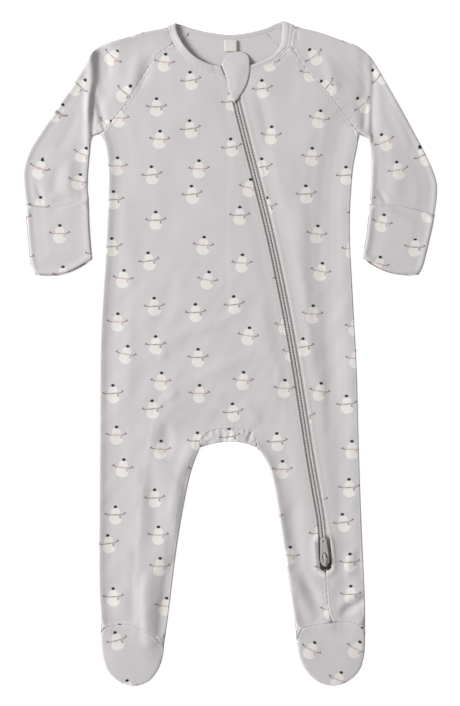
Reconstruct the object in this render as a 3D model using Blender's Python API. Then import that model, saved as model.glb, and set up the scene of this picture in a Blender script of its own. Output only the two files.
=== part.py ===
"""A footed baby sleepsuit with a slanted zip, laid flat on its back.

The frame: +X to the viewer's right, +Y towards the neck, +Z up off the surface. The origin is on the
surface, under the middle of the garment. Sizes in the tables are millimetres.

The suit lies as two layers. The back panel, the soles and the sleeves' undersides lie on the surface. The
front panels, the sleeves' tops and the foot caps lie over them, 0.3 mm clear, and rise in soft folds that
cloth_height() works out for every piece, so that neighbours always meet at one level.
"""

import math
from collections import namedtuple

import bmesh
import bpy
import numpy as np
from mathutils import Matrix, Vector
from mathutils.geometry import delaunay_2d_cdt

MM = 0.001
WALL = 1.2            # a folded or doubled jersey edge
GAP = 0.3             # between pieces that are sewn edge to edge or lie on each other
LAYER = WALL + GAP    # where the upper layer starts
PANEL_STEP = 11.0     # spacing of the points inside a front panel
EDGE_STEP = 9.0       # spacing of the points along an outline
ZIP_STEP = 13.0       # and along the zip

LOFT = 1.3            # how far the front layer stands off the back, away from the edges
LOFT_REACH = 13.0     # how fast it rises from an edge
MAX_LIFT = 3.7        # the highest fold above the flat upper layer

ZIP_LIFT = 1.5        # the panels rise this much over the stiff tapes
ZIP_FLAT = 9.0        # up to this far from the zip they are at that level
ZIP_REACH = 22.0      # and from here on they lie as elsewhere
SLOT_HALF = 4.5       # half the width that shows between the panels
SLOT_WIDE = 5.9       # the same beside the slider
SLOT_END_HALF = 4.2   # and at the slot's lower end
TAPE_HALF = 7.6       # each tape from the middle to its hidden edge
TAPE_WALL = 1.0
CHAIN_HALF = 2.1
CHAIN_HIGH = 1.3

Fold = namedtuple("Fold", "x1 y1 x2 y2 width height")
Section = namedtuple("Section", "outer_x outer_y inner_x inner_y bow")
Band = namedtuple("Band", "free_x free_y seam_x seam_y")

# ---- outlines: x, y of the points that each smooth edge passes through ----

SIDE_LEFT = [(-120, 203.5), (-115.5, 189), (-113.5, 160), (-116, 96), (-121, 12), (-122, -100),
             (-122.5, -205), (-120.8, -243), (-120.4, -260.4)]
FOOT_LEFT = [(-120.4, -260.4), (-119.8, -276), (-114.5, -295), (-102, -306.5), (-88, -309.6),
             (-74, -304), (-65, -291), (-61.8, -280), (-61.3, -273)]
INNER_LEFT = [(-61.3, -273), (-56.5, -239), (-49.5, -183), (-42, -138), (-35.5, -109), (-28, -88)]
CROTCH = [(-28, -88), (-16, -84.5), (-3, -82.7), (12, -84), (24.7, -88)]
INNER_RIGHT = [(24.7, -88), (34.5, -103), (40.5, -123), (47, -163), (54, -211), (59.5, -248), (61.6, -267)]
FOOT_RIGHT = [(61.6, -267), (63, -279), (68.5, -293), (80, -305), (95, -309.6), (110, -305),
              (121.3, -293.5), (125.4, -276), (125.6, -260.4)]
SIDE_RIGHT = [(125.6, -260.4), (125.6, -230), (122.5, -160), (120, -90), (118, -16), (114.5, 49),
              (111.5, 115), (114, 166), (118, 189), (120.4, 202.7)]

FOOT_SEAM_LEFT = [(-120.4, -260.4), (-115, -254.5), (-104, -252.3), (-90, -253), (-81, -257),
                  (-71.5, -261.5), (-61.3, -273)]
FOOT_SEAM_RIGHT = [(61.6, -267), (67.5, -255.5), (78, -253), (95.8, -250.4), (113, -249.4),
                   (120.5, -253.5), (125.6, -260.4)]
HEEL_LEFT = [(-61.3, -273), (-90, -269), (-120.4, -260.4)]
HEEL_RIGHT = [(125.6, -260.4), (95, -267), (61.6, -267)]
GUSSET_SEAM = [(-28, -81.5), (-23.5, -75.5), (-15.5, -71.5), (-5, -70), (7, -69.8), (17, -72.5),
               (22.8, -76.5), (24.7, -82.8)]

RAGLAN_LEFT = [(-52.8, 287.6), (-60.5, 284), (-71.6, 271), (-82.8, 254.5), (-91.5, 238), (-103, 223),
               (-120, 203.5)]
RAGLAN_RIGHT = [(57.2, 284.6), (62.5, 276.5), (71, 262), (85.5, 248.5), (97, 234), (106, 222),
                (120.4, 202.7)]
BACK_RAGLAN_LEFT = [(-37.7, 297.8), (-42.5, 289.5), (-58, 272), (-80, 246), (-102, 222), (-120, 203.5)]
BACK_RAGLAN_RIGHT = [(34, 297.3), (42, 288), (58, 272), (80, 246), (102, 222), (120.4, 202.7)]

ZIP_LINE = [(-2, 267), (6.5, 231.5), (12.6, 207.5), (38.3, 105), (57.8, 7.5), (74.9, -99.5),
            (84.4, -155), (86.9, -179), (87.8, -190.5), (88.8, -203.3)]
SEAM_BELOW_ZIP = [(89.1, -206.5), (91.3, -237), (95.8, -250.4)]
CHIN_GUARD = [(-8.4, 267.5), (-4, 256), (-1.8, 246.5), (0.8, 235.5), (4, 231.2), (10.2, 239.8),
              (15, 248), (17.8, 258), (18.4, 268), (17, 276), (10.5, 280), (2.5, 279.8), (-4.5, 275)]

# ---- the neckband, by pairs of points: its free edge and its seam ----

BAND_FRONT_LEFT = [
    Band(-8.8, 266.9, -4.2, 256.4), Band(-18.3, 268.1, -20.3, 260.6), Band(-27.4, 272, -31.5, 265.8),
    Band(-35.2, 277.2, -39.5, 271.4), Band(-42.2, 285, -47.5, 279.6), Band(-45.8, 291, -52.8, 287.6),
    Band(-48.6, 296.5, -55.4, 294.5), Band(-49.9, 302.5, -57.6, 299.6), Band(-49.5, 306.3, -58.5, 302.6)]
BAND_BACK = [
    Band(-49.5, 306.3, -58.5, 302.6), Band(-42.8, 304.6, -46, 300.4), Band(-36.3, 302.3, -37.7, 297.8),
    Band(-20.5, 298.5, -21, 293.6), Band(0, 296.2, 0, 291.4), Band(17.7, 298.2, 17.5, 293.2),
    Band(33.5, 302.3, 34, 297.3), Band(40, 305.5, 43, 300.5), Band(47.5, 308.2, 60.5, 303.6)]
BAND_FRONT_RIGHT = [
    Band(2.8, 267, 4.6, 258.6), Band(12, 266.6, 12.4, 259.8), Band(20, 267.6, 20.6, 261.4),
    Band(31.6, 272, 34, 266.3), Band(38.6, 276, 43, 271.2), Band(44, 282, 51.2, 278.8),
    Band(46.8, 288, 57.2, 284.6), Band(47.9, 296, 58.6, 292.6), Band(48.3, 303, 59.9, 299.2),
    Band(47.5, 308.2, 60.5, 303.6)]
RAGLAN_AT_LEFT = 5    # the row of the band's table where the front raglan seam meets it
RAGLAN_AT_RIGHT = 6
BACK_RAGLAN_AT_LEFT = 2
BACK_RAGLAN_AT_RIGHT = 6

# ---- the sleeves, by sections from the shoulder's outer edge to the underarm edge ----

SLEEVE_LEFT = [
    Section(-60.3, 302.1, -120.4, 203.6, 0), Section(-80, 298.5, -121.6, 203.3, 0),
    Section(-101, 292.5, -123, 202.9, 0), Section(-118, 287, -124.8, 202.3, 0),
    Section(-125.3, 282.4, -126.1, 201.8, 0), Section(-129.9, 277.5, -127.6, 200.8, 0),
    Section(-137, 264.5, -129, 196, 0), Section(-148, 246.5, -129.6, 189, 0),
    Section(-162, 226, -130.5, 179, 1), Section(-176, 205, -131.5, 168, 2),
    Section(-187, 187, -132, 158, 3), Section(-192.4, 166, -131.9, 150.5, 5),
    Section(-189.9, 138, -131.2, 144, 6), Section(-187.8, 110, -130.3, 118, 6),
    Section(-184.5, 82, -128.6, 95, 6), Section(-181, 72.8, -127.8, 87.5, 6)]
SLEEVE_RIGHT = [
    Section(62.4, 303, 120.8, 202.8, 0), Section(81.5, 298.5, 122, 202.4, 0),
    Section(102, 291.4, 123.5, 201.6, 0), Section(117, 286, 125, 200.9, 0),
    Section(125.8, 279.8, 126.6, 200.1, 0), Section(131.5, 274, 128.3, 198.9, 0),
    Section(138.5, 263, 129.8, 194, 0), Section(148, 246.5, 130.5, 187, 0),
    Section(160, 225.5, 131, 177, 0), Section(173.5, 200.5, 130.8, 166, 0),
    Section(184.5, 179, 130.3, 155, -1), Section(192.4, 156, 129.9, 147, -2),
    Section(189.9, 128, 129.2, 137.5, -3), Section(185, 104, 127, 112, 1.5),
    Section(178.8, 80, 123.8, 94, 5), Section(175, 73, 122.7, 88.3, 5.5)]
FLAP_AT = 12          # the section where the turned-up mitten flap ends
NECK_SPANS, RAGLAN_SPANS = 2, 6    # spans of a sleeve's slanted end, at the neck and along the raglan
SLEEVE_ACROSS = NECK_SPANS + RAGLAN_SPANS
EDGE_TUCK = 1.6       # where the flat of a sleeve starts, in from its rolled edge
BEND = 1.35           # half the height of a sleeve's rolled edge
BLEND_SECTIONS = 4    # over which the slanted neck end turns into straight sections

# ---- the largest folds: a line, how wide it spreads and how high it stands (or sinks) ----

FOLDS = [
    Fold(-131.5, 272, -134, 240, 4.5, 2.2), Fold(-134, 240, -130.5, 208, 4, 2.0),
    Fold(-125.2, 278, -125, 206, 2.6, -2.4), Fold(-122, 236, -112, 214, 4, -1.0),
    Fold(-153, 178, -152, 146, 6, 1.2), Fold(-165, 172, -166, 148, 5, -1.2),
    Fold(132.5, 268, 134, 236, 4.5, 2.0), Fold(134, 236, 131.5, 206, 4, 1.8),
    Fold(126.2, 274, 125.8, 204, 2.6, -2.4), Fold(150, 180, 150, 146, 6, 1.0),
    Fold(-86, 280, -100, 240, 6, 0.9), Fold(-74, 276, -90, 244, 4, -0.8),
    Fold(86, 276, 98, 246, 6, 0.8),
    Fold(-104, 160, -104, 60, 7, 0.9), Fold(-101, 40, -108, -60, 8, 0.8),
    Fold(-78, 4, 2, 38, 7, 0.9), Fold(-52, 68, -74, 20, 8, -0.8),
    Fold(38, 32, 35, -34, 5, 1.3), Fold(28, 30, 24, -36, 6, -0.9),
    Fold(79, 50, 96, -70, 7, 1.5), Fold(86, 46, 104, -20, 5, -1.2),
    Fold(112, 42, 99, -72, 5, 1.6), Fold(101, 176, 104, 140, 6, 0.9),
    Fold(-30, -62, -54, -118, 7, 1.6), Fold(-54, -118, -66, -184, 7, 1.5),
    Fold(-72, -100, -79, -158, 6, -1.2), Fold(-100, -216, -100, -244, 10, 1.2),
    Fold(-72, -206, -70, -250, 6, -1.0), Fold(60, -88, 64, -120, 6, 1.2),
    Fold(52, -128, 66, -210, 5, -1.0), Fold(66, -222, 72, -244, 5, 1.3),
    Fold(92, -244, 119, -221, 4, 1.3), Fold(100, -238, 122, -224, 3.5, -1.0),
    Fold(106, -150, 100, -178, 6, 1.1), Fold(112, -186, 116, -200, 5, -1.2)]

# ---- hardware: sizes along the zip from the pull's hinge, up the chain positive ----

HINGE_FROM_END = 9.1       # the hinge, up the chain from the zip's lower end
SLIDER_NOSE, SLIDER_TAIL = 5.6, -7.2
SLIDER_NOSE_HALF, SLIDER_HALF, SLIDER_TAIL_HALF = 2.9, 4.8, 3.3
SLIDER_PLATE = 1.1
CHANNEL_HALF = 2.45
BAIL_HALF, BAIL_REACH, BAIL_WALL, BAIL_CLEAR = 1.4, 4.6, 0.9, 2.2
HINGE_ABOVE_PLATE = 1.25
PULL_TIP, PULL_WINDOW_END, PULL_WALL = 23.0, 9.3, 1.2
PULL_TIP_HALF, PULL_EYE_HALF, PULL_WINDOW_HALF = 2.8, 4.1, 2.05
PULL_BACK = -0.9
CROSSBAR_R = 0.6
PULL_HOLE_R, PULL_HOLE_AT = 0.9, 19.9
PULL_TILT = math.radians(3)

COLOURS = {                # base colour, roughness, metallic
    "jersey": ((0.60, 0.58, 0.585, 1), 0.9, 0),
    "label": ((0.80, 0.78, 0.72, 1), 0.8, 0),
    "tape": ((0.36, 0.35, 0.35, 1), 0.85, 0),
    "coil": ((0.45, 0.44, 0.44, 1), 0.5, 0),
    "painted_zinc": ((0.50, 0.48, 0.47, 1), 0.4, 0.2),
}


# ---- curves and measures ----

def smooth_curve(points, step=EDGE_STEP):
    """Points along a Catmull-Rom curve through the given ones, about a step apart."""
    knots = [Vector(p) for p in points]
    knots = [2 * knots[0] - knots[1], *knots, 2 * knots[-1] - knots[-2]]
    out = []
    for a, b, c, d in zip(knots, knots[1:], knots[2:], knots[3:]):
        spans = max(1, round((c - b).length / step))
        for i in range(spans):
            out.append(catmull_rom(a, b, c, d, i / spans))
    return [*out, knots[-2]]


def catmull_rom(a, b, c, d, t):
    return 0.5 * (2 * b + (c - a) * t + (2 * a - 5 * b + 4 * c - d) * t * t
                  + (3 * b - a - 3 * c + d) * t ** 3)


def joined(*runs):
    """One closed outline from runs of points that share their ends."""
    out = []
    for run in runs:
        for p in run:
            if not out or (p - out[-1]).length > 0.01:
                out.append(p)
    return out[:-1] if (out[0] - out[-1]).length < 0.01 else out


def signed_area(outline):
    return 0.5 * sum(a.x * b.y - b.x * a.y for a, b in zip(outline, outline[1:] + outline[:1]))


def inset(outline, distance):
    """The outline, counterclockwise, moved inwards by a distance."""
    if signed_area(outline) < 0:
        outline = outline[::-1]
    out = []
    for before, here, after in zip(outline[-1:] + outline[:-1], outline, outline[1:] + outline[:1]):
        n1 = Vector((before.y - here.y, here.x - before.x)).normalized()
        n2 = Vector((here.y - after.y, after.x - here.x)).normalized()
        out.append(here + (n1 + n2) * distance / max(0.35, 1 + n1.dot(n2)))
    return out


class Segments:
    """Straight pieces in a plane, to measure the distance to."""

    def __init__(self, points, closed=False):
        p = np.array([tuple(q) for q in points], float)
        self.a, self.b = (p, np.roll(p, -1, axis=0)) if closed else (p[:-1], p[1:])
        long = np.abs(self.b - self.a).sum(1) > 1e-6
        self.a, self.b = self.a[long], self.b[long]

    def distance(self, x, y):
        along = self.b - self.a
        away = np.array((x, y)) - self.a
        t = np.clip((away * along).sum(1) / (along * along).sum(1), 0, 1)
        return float(np.linalg.norm(away - t[:, None] * along, axis=1).min())


def inside(x, y, outline):
    hit = False
    for a, b in zip(outline, outline[1:] + outline[:1]):
        if (a.y > y) != (b.y > y) and x < a.x + (y - a.y) * (b.x - a.x) / (b.y - a.y):
            hit = not hit
    return hit


def smooth_step(start, end, value):
    t = min(1.0, max(0.0, (value - start) / (end - start)))
    return t * t * (3 - 2 * t)


def band_rows(rows):
    """The free edge and the seam of a run of the neckband, as two lists of the same length."""
    free, seam = [], []
    knots = [Vector(r) for r in rows]
    knots = [2 * knots[0] - knots[1], *knots, 2 * knots[-1] - knots[-2]]
    for a, b, c, d in zip(knots, knots[1:], knots[2:], knots[3:]):
        for t in (0, 0.5):
            q = catmull_rom(a, b, c, d, t)
            free.append(Vector((q[0], q[1])))
            seam.append(Vector((q[2], q[3])))
    free.append(Vector(knots[-2][:2]))
    seam.append(Vector(knots[-2][2:]))
    return free, seam


def along_path(path, shares):
    """Points at given shares of a path's length."""
    lengths = [0.0]
    for a, b in zip(path, path[1:]):
        lengths.append(lengths[-1] + (b - a).length)
    out = []
    for share in shares:
        at = share * lengths[-1]
        i = max(k for k in range(len(path) - 1) if lengths[k] <= at + 1e-9)
        t = (at - lengths[i]) / (lengths[i + 1] - lengths[i])
        out.append(path[i].lerp(path[i + 1], min(1.0, t)))
    return out


def raglan_curve(points):
    """A raglan seam in the spans that the sleeve and the panel beside it share."""
    return along_path(smooth_curve(points, 3), [i / RAGLAN_SPANS for i in range(RAGLAN_SPANS + 1)])


FREE_FL, SEAM_FL = band_rows(BAND_FRONT_LEFT)
FREE_FR, SEAM_FR = band_rows(BAND_FRONT_RIGHT)
FREE_B, SEAM_B = band_rows(BAND_BACK)

SIDE_L, SIDE_R = smooth_curve(SIDE_LEFT), smooth_curve(SIDE_RIGHT)
FOOT_L, FOOT_R = smooth_curve(FOOT_LEFT), smooth_curve(FOOT_RIGHT)
INNER_L, INNER_R = smooth_curve(INNER_LEFT), smooth_curve(INNER_RIGHT)
CROTCH_LINE, GUSSET_TOP = smooth_curve(CROTCH), smooth_curve(GUSSET_SEAM)
RAGLAN_L, RAGLAN_R = raglan_curve(RAGLAN_LEFT), raglan_curve(RAGLAN_RIGHT)
BACK_RAGLAN_L, BACK_RAGLAN_R = raglan_curve(BACK_RAGLAN_LEFT), raglan_curve(BACK_RAGLAN_RIGHT)
FOOT_SEAM_L, FOOT_SEAM_R = smooth_curve(FOOT_SEAM_LEFT), smooth_curve(FOOT_SEAM_RIGHT)
ZIP = smooth_curve(ZIP_LINE, ZIP_STEP)
BELOW_ZIP = smooth_curve(SEAM_BELOW_ZIP)

ARM_EDGES = [smooth_curve([(s.outer_x, s.outer_y) for s in rows])
             + smooth_curve([(s.inner_x, s.inner_y) for s in rows])[::-1]
             for rows in (SLEEVE_LEFT, SLEEVE_RIGHT)]
EDGE_LINE = Segments(ARM_EDGES[0] + SIDE_L + FOOT_L + INNER_L + CROTCH_LINE + INNER_R + FOOT_R + SIDE_R
                     + ARM_EDGES[1][::-1])
ZIP_SEGMENTS = Segments(ZIP)
FOLD_LINES = [(Segments([(f.x1, f.y1), (f.x2, f.y2)]), f) for f in FOLDS]


def cloth_height(x, y):
    """How high the underside of the upper layer is over a point of the surface."""
    loft = LOFT * (1 - math.exp(-EDGE_LINE.distance(x, y) / LOFT_REACH))
    folds = sum(f.height * math.exp(-(line.distance(x, y) / f.width) ** 2) for line, f in FOLD_LINES)
    by_zip = 1 - smooth_step(ZIP_FLAT, ZIP_REACH, ZIP_SEGMENTS.distance(x, y))
    lift = min(MAX_LIFT, max(0.0, loft + folds * (1 - by_zip)))
    return LAYER + lift * (1 - by_zip) + max(lift, ZIP_LIFT) * by_zip


# ---- making solids ----

def material(name):
    found = bpy.data.materials.get(name)
    if found:
        return found
    colour, roughness, metallic = COLOURS[name]
    made = bpy.data.materials.new(name)
    made.use_nodes = True
    shader = made.node_tree.nodes["Principled BSDF"]
    shader.inputs["Base Color"].default_value = colour
    shader.inputs["Roughness"].default_value = roughness
    shader.inputs["Metallic"].default_value = metallic
    return made


def add_object(name, bm, finish):
    """A named object from a bmesh in millimetres."""
    bmesh.ops.scale(bm, vec=(MM, MM, MM), verts=bm.verts)
    bmesh.ops.recalc_face_normals(bm, faces=bm.faces)
    mesh = bpy.data.meshes.new(name)
    bm.to_mesh(mesh)
    bm.free()
    made = bpy.data.objects.new(name, mesh)
    bpy.context.scene.collection.objects.link(made)
    mesh.materials.append(material(finish))
    return made


def panel(name, outline, underside, wall=WALL, step=PANEL_STEP, finish="jersey"):
    """A piece of cloth with a given outline, its underside at underside(x, y) and a wall above it.

    With a step, points are added inside the outline in staggered rows, for the folds to bend at.
    """
    edge = inset(outline, GAP / 2)
    points = list(edge)
    if step:
        border = Segments(edge, closed=True)
        low = Vector((min(p.x for p in edge), min(p.y for p in edge)))
        high = Vector((max(p.x for p in edge), max(p.y for p in edge)))
        row_step = step * math.sqrt(3) / 2
        for row in range(int((high.y - low.y) / row_step) + 1):
            y = low.y + row * row_step
            for column in range(int((high.x - low.x) / step) + 2):
                x = low.x + (column + row % 2 / 2) * step
                if inside(x, y, edge) and border.distance(x, y) > 0.55 * step:
                    points.append(Vector((x, y)))
    flat, _, faces, *_ = delaunay_2d_cdt(points, [], [list(range(len(edge)))], 1, 1e-4)
    bm = bmesh.new()
    made = [bm.verts.new((p.x, p.y, underside(p.x, p.y))) for p in flat]
    lower = [bm.faces.new([made[i] for i in face]) for face in faces]
    raised = bmesh.ops.extrude_face_region(bm, geom=lower, use_keep_orig=True)["geom"]
    upper = [v for v in raised if isinstance(v, bmesh.types.BMVert)]
    bmesh.ops.translate(bm, verts=upper, vec=(0, 0, wall))
    return add_object(name, bm, finish)


def loft(bm, rings, closed=True):
    """Faces between rings of points. Each ring goes round once, or side to side if not closed."""
    made = [[bm.verts.new(p) for p in ring] for ring in rings]
    last = len(made[0]) if closed else len(made[0]) - 1
    for low, high in zip(made, made[1:]):
        for i in range(last):
            j = (i + 1) % len(low)
            bm.faces.new((low[i], low[j], high[j], high[i]))
    return made


def strip(name, sections, finish):
    """A solid strip through four-cornered sections, closed at both ends."""
    bm = bmesh.new()
    made = loft(bm, sections)
    bm.faces.new(made[0][::-1])
    bm.faces.new(made[-1])
    return add_object(name, bm, finish)


def extruded(outline, low, high):
    """A bmesh: a flat outline, pulled up from one level to another."""
    bm = bmesh.new()
    face = bm.faces.new([bm.verts.new((x, y, low)) for x, y in outline])
    pulled = bmesh.ops.extrude_face_region(bm, geom=[face], use_keep_orig=True)["geom"]
    upper = [v for v in pulled if isinstance(v, bmesh.types.BMVert)]
    bmesh.ops.translate(bm, verts=upper, vec=(0, 0, high - low))
    return bm


def combine(target, other, operation):
    """Joins or cuts one object with another by an exact Boolean. The other is only its tool."""
    other.hide_render = True
    other.display_type = "WIRE"
    change = target.modifiers.new(other.name, "BOOLEAN")
    change.object = other
    change.operation = operation
    change.solver = "EXACT"


# ---- the cloth ----

def back_level(x, y):
    return 0.0


def outline_back():
    neck = SEAM_B[2 * BACK_RAGLAN_AT_LEFT:2 * BACK_RAGLAN_AT_RIGHT + 1]
    return joined(neck, BACK_RAGLAN_R, SIDE_R[::-1], smooth_curve(HEEL_RIGHT), INNER_R[::-1],
                  CROTCH_LINE[::-1], INNER_L[::-1], smooth_curve(HEEL_LEFT), SIDE_L[::-1],
                  BACK_RAGLAN_L[::-1])


def slot_edge(side):
    """A panel's edge along the zip, from below the neck seam: wider at the slider, narrow at the end."""
    out = []
    for i in range(1, len(ZIP)):
        here, before, after = ZIP[i], ZIP[i - 1], ZIP[min(i + 1, len(ZIP) - 1)]
        along = (after - before).normalized()
        to_end = (ZIP[-1] - here).length
        half = SLOT_HALF + (SLOT_WIDE - SLOT_HALF) * smooth_step(45, 25, to_end)
        if to_end < 0.1:
            half = SLOT_END_HALF
        out.append(here + Vector((-along.y, along.x)) * side * half)
    return out


def make_front():
    neck_left = SEAM_FL[:2 * RAGLAN_AT_LEFT + 1]
    left = joined(neck_left, RAGLAN_L, SIDE_L, FOOT_SEAM_L, INNER_L, GUSSET_TOP, INNER_R,
                  FOOT_SEAM_R[:right_seam_split() + 1], BELOW_ZIP[::-1], slot_edge(-1)[::-1])
    neck_right = SEAM_FR[:2 * RAGLAN_AT_RIGHT + 1]
    right = joined(neck_right, RAGLAN_R, SIDE_R[::-1], FOOT_SEAM_R[right_seam_split():][::-1],
                   BELOW_ZIP[::-1], slot_edge(1)[::-1])
    panel("front_left", left, cloth_height)
    panel("front_right", right, cloth_height)
    panel("gusset", joined(GUSSET_TOP, CROTCH_LINE[::-1]), cloth_height, step=7)


def right_seam_split():
    """Where the seam below the zip meets the foot's seam."""
    end = BELOW_ZIP[-1]
    return min(range(len(FOOT_SEAM_R)), key=lambda i: (FOOT_SEAM_R[i] - end).length)


def make_feet():
    for side, foot, seam, heel in (("left", FOOT_L, FOOT_SEAM_L, HEEL_LEFT),
                                   ("right", FOOT_R, FOOT_SEAM_R, HEEL_RIGHT)):
        panel(f"foot_upper_{side}", joined(foot, seam[::-1]), cloth_height, step=8)
        panel(f"sole_{side}", joined(foot, smooth_curve(heel)), back_level, step=None)


def sleeve_sections(rows):
    """The rows again, with more of them where they lie far apart. The second value marks the flap's row."""
    knots = [Vector(r) for r in rows]
    knots = [2 * knots[0] - knots[1], *knots, 2 * knots[-1] - knots[-2]]
    out, flap = [], 0
    for k, (a, b, c, d) in enumerate(zip(knots, knots[1:], knots[2:], knots[3:])):
        if k == FLAP_AT:
            flap = len(out)
        spans = max(1, math.ceil((Vector(c[:2]) - Vector(b[:2])).length / 15))
        out += [Section(*catmull_rom(a, b, c, d, i / spans)) for i in range(spans)]
    return [*out, Section(*knots[-2])], flap


def slanted_end(neck, raglan):
    """The points of a sleeve layer's first row: along the neck, then down the raglan seam."""
    neck = along_path(neck, [i / NECK_SPANS for i in range(NECK_SPANS + 1)])
    path = neck[:-1] + raglan
    outwards = math.copysign(1, raglan[-1].x)
    row = []
    for before, here, after in zip([path[0], *path], path, [*path[1:], path[-1]]):
        along = (after - before).normalized()
        row.append(here + Vector((-along.y, along.x)) * outwards * GAP / 2)
    row[0] = row[0] + (row[1] - row[0]).normalized() * EDGE_TUCK
    row[-1] = row[-1] + (row[-2] - row[-1]).normalized() * EDGE_TUCK
    return row


def sleeve_layer(sections, end_row):
    """A layer of a sleeve, as rows of points from the outer to the underarm edge.

    The first row is end_row, the slanted neck and raglan edge, and the rows straighten from there.
    """
    rows = []
    for v, s in enumerate(sections):
        outer, inner = Vector((s.outer_x, s.outer_y)), Vector((s.inner_x, s.inner_y))
        length = (inner - outer).length
        near = EDGE_TUCK / length
        shares = [near + (1 - 2 * near) * i / SLEEVE_ACROSS for i in range(SLEEVE_ACROSS + 1)]
        down = Vector(((inner - outer).y, -(inner - outer).x)).normalized()
        if down.y > 0:
            down = -down
        row = [outer.lerp(inner, t) + down * s.bow * math.sin(math.pi * t) for t in shares]
        if v < BLEND_SECTIONS:
            first = sections[0]
            a, b = Vector((first.outer_x, first.outer_y)), Vector((first.inner_x, first.inner_y))
            weight = (1 - v / BLEND_SECTIONS) ** 2
            row = [p + (q - a.lerp(b, t)) * weight for p, q, t in zip(row, end_row, shares)]
        rows.append(row)
    return rows


def rolled_ring(section, top, under, wall):
    """One ring round a flattened sleeve: over the top, round the underarm edge, back under, and round.

    wall is 0 for the outside and the cloth's thickness for the inside.
    """
    outer, inner = Vector((section.outer_x, section.outer_y)), Vector((section.inner_x, section.inner_y))
    ring = [(p.x, p.y, cloth_height(p.x, p.y) + WALL - wall) for p in top]
    radius, tuck = BEND - wall, wall + (0.05 if wall else 0)
    for edge, inward, levels in ((inner, (top[-1] - inner).normalized(), (0.7, 0, -0.7)),
                                 (outer, (top[0] - outer).normalized(), (-0.7, 0, 0.7))):
        for level in levels:
            depth = tuck + (1 - math.sqrt(1 - level * level)) * max(radius, 0.2)
            p = edge + inward * depth
            ring.append((p.x, p.y, BEND + level * max(radius, 0.15)))
        if edge is inner:
            ring += [(p.x, p.y, wall) for p in reversed(under)]
    return ring


def make_sleeve(side, rows, neck_top, raglan, neck_back, back_raglan):
    sections, flap = sleeve_sections(rows)
    top = sleeve_layer(sections, slanted_end(neck_top, raglan))
    under = sleeve_layer(sections, slanted_end(neck_back, back_raglan))
    bm = bmesh.new()
    outside = loft(bm, [rolled_ring(s, t, u, 0) for s, t, u in zip(sections, top, under)])
    hollow = loft(bm, [rolled_ring(s, t, u, WALL) for s, t, u in zip(sections, top, under)])
    for end in (0, -1):
        a, b = outside[end], hollow[end]
        for i in range(len(a)):
            j = (i + 1) % len(a)
            bm.faces.new((a[i], a[j], b[j], b[i]))
    add_object(f"sleeve_{side}", bm, "jersey")
    make_flap(side, sections[flap:], top[flap:])


def make_flap(side, sections, top):
    """The mitten flap lies on the sleeve's end, from the sleeve's own points moved up."""
    bm = bmesh.new()
    grid = []
    for s, row in zip(sections, top):
        outer, inner = Vector((s.outer_x, s.outer_y)), Vector((s.inner_x, s.inner_y))
        ends = outer + (row[0] - outer).normalized() * 0.35, inner + (row[-1] - inner).normalized() * 0.35
        level = [cloth_height(p.x, p.y) + LAYER for p in row]
        points = [ends[0], *row, ends[1]]
        levels = [level[0], *level, level[-1]]
        grid.append([(p.x, p.y, z) for p, z in zip(points, levels)])
    loft(bm, grid, closed=False)
    pulled = bmesh.ops.extrude_face_region(bm, geom=bm.faces[:], use_keep_orig=True)["geom"]
    upper = [v for v in pulled if isinstance(v, bmesh.types.BMVert)]
    bmesh.ops.translate(bm, verts=upper, vec=(0, 0, WALL))
    add_object(f"mitten_cuff_{side}", bm, "jersey")


def make_neckband():
    """One strip: up the left front, folded over at the shoulder, along the back, and down the right."""
    sections = band_layer(FREE_FL, SEAM_FL, 1)
    sections += band_fold(FREE_FL[-1], SEAM_FL[-1], (1, -1))
    sections += band_layer(FREE_B, SEAM_B, -1)
    sections += band_fold(FREE_FR[-1], SEAM_FR[-1], (-1, 1))
    sections += band_layer(FREE_FR[::-1], SEAM_FR[::-1], 1)
    strip("neckband", sections, "jersey")


def band_layer(free, seam, up):
    """Sections of the band in the front layer (up = 1) or turned under, in the back layer (up = -1)."""
    out = []
    for f, s in zip(free, seam):
        s = s + (f - s).normalized() * GAP / 2
        if up > 0:
            low_f, low_s = cloth_height(f.x, f.y), cloth_height(s.x, s.y)
            out.append([(f.x, f.y, low_f + WALL), (s.x, s.y, low_s + WALL), (s.x, s.y, low_s),
                        (f.x, f.y, low_f)])
        else:
            out.append([(f.x, f.y, 0), (s.x, s.y, 0), (s.x, s.y, WALL), (f.x, f.y, WALL)])
    return out


def band_fold(free, seam, turn):
    """The band going over the shoulder, from one layer to the other."""
    seam = seam + (free - seam).normalized() * GAP / 2
    across = (seam - free).normalized()
    out_way = Vector((-across.y, across.x))
    if out_way.y < 0:
        out_way = -out_way
    middle, half = LAYER / 2 + WALL / 2, LAYER / 2
    rings = []
    for quarter in (50, 0, -50):
        angle = math.radians(quarter * turn[0])
        ring = []
        for edge, r in ((free, half + WALL / 2), (seam, half + WALL / 2), (seam, half - WALL / 2),
                        (free, half - WALL / 2)):
            p = edge + out_way * math.cos(angle) * r
            ring.append((p.x, p.y, middle + math.sin(angle) * r))
        rings.append(ring)
    return rings


def make_small_cloth():
    guard = smooth_curve(CHIN_GUARD + CHIN_GUARD[:1], 5)
    panel("chin_guard", joined(guard), lambda x, y: cloth_height(x, y) + CHAIN_HIGH + 0.4, step=6)
    label = [Vector(p) for p in ((-5.6, 279.9), (6.5, 279.9), (6.5, 290.8), (-5.6, 290.8))]
    panel("label", label, lambda x, y: LAYER, wall=1.0, step=None, finish="label")


# ---- the zip ----

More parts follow.
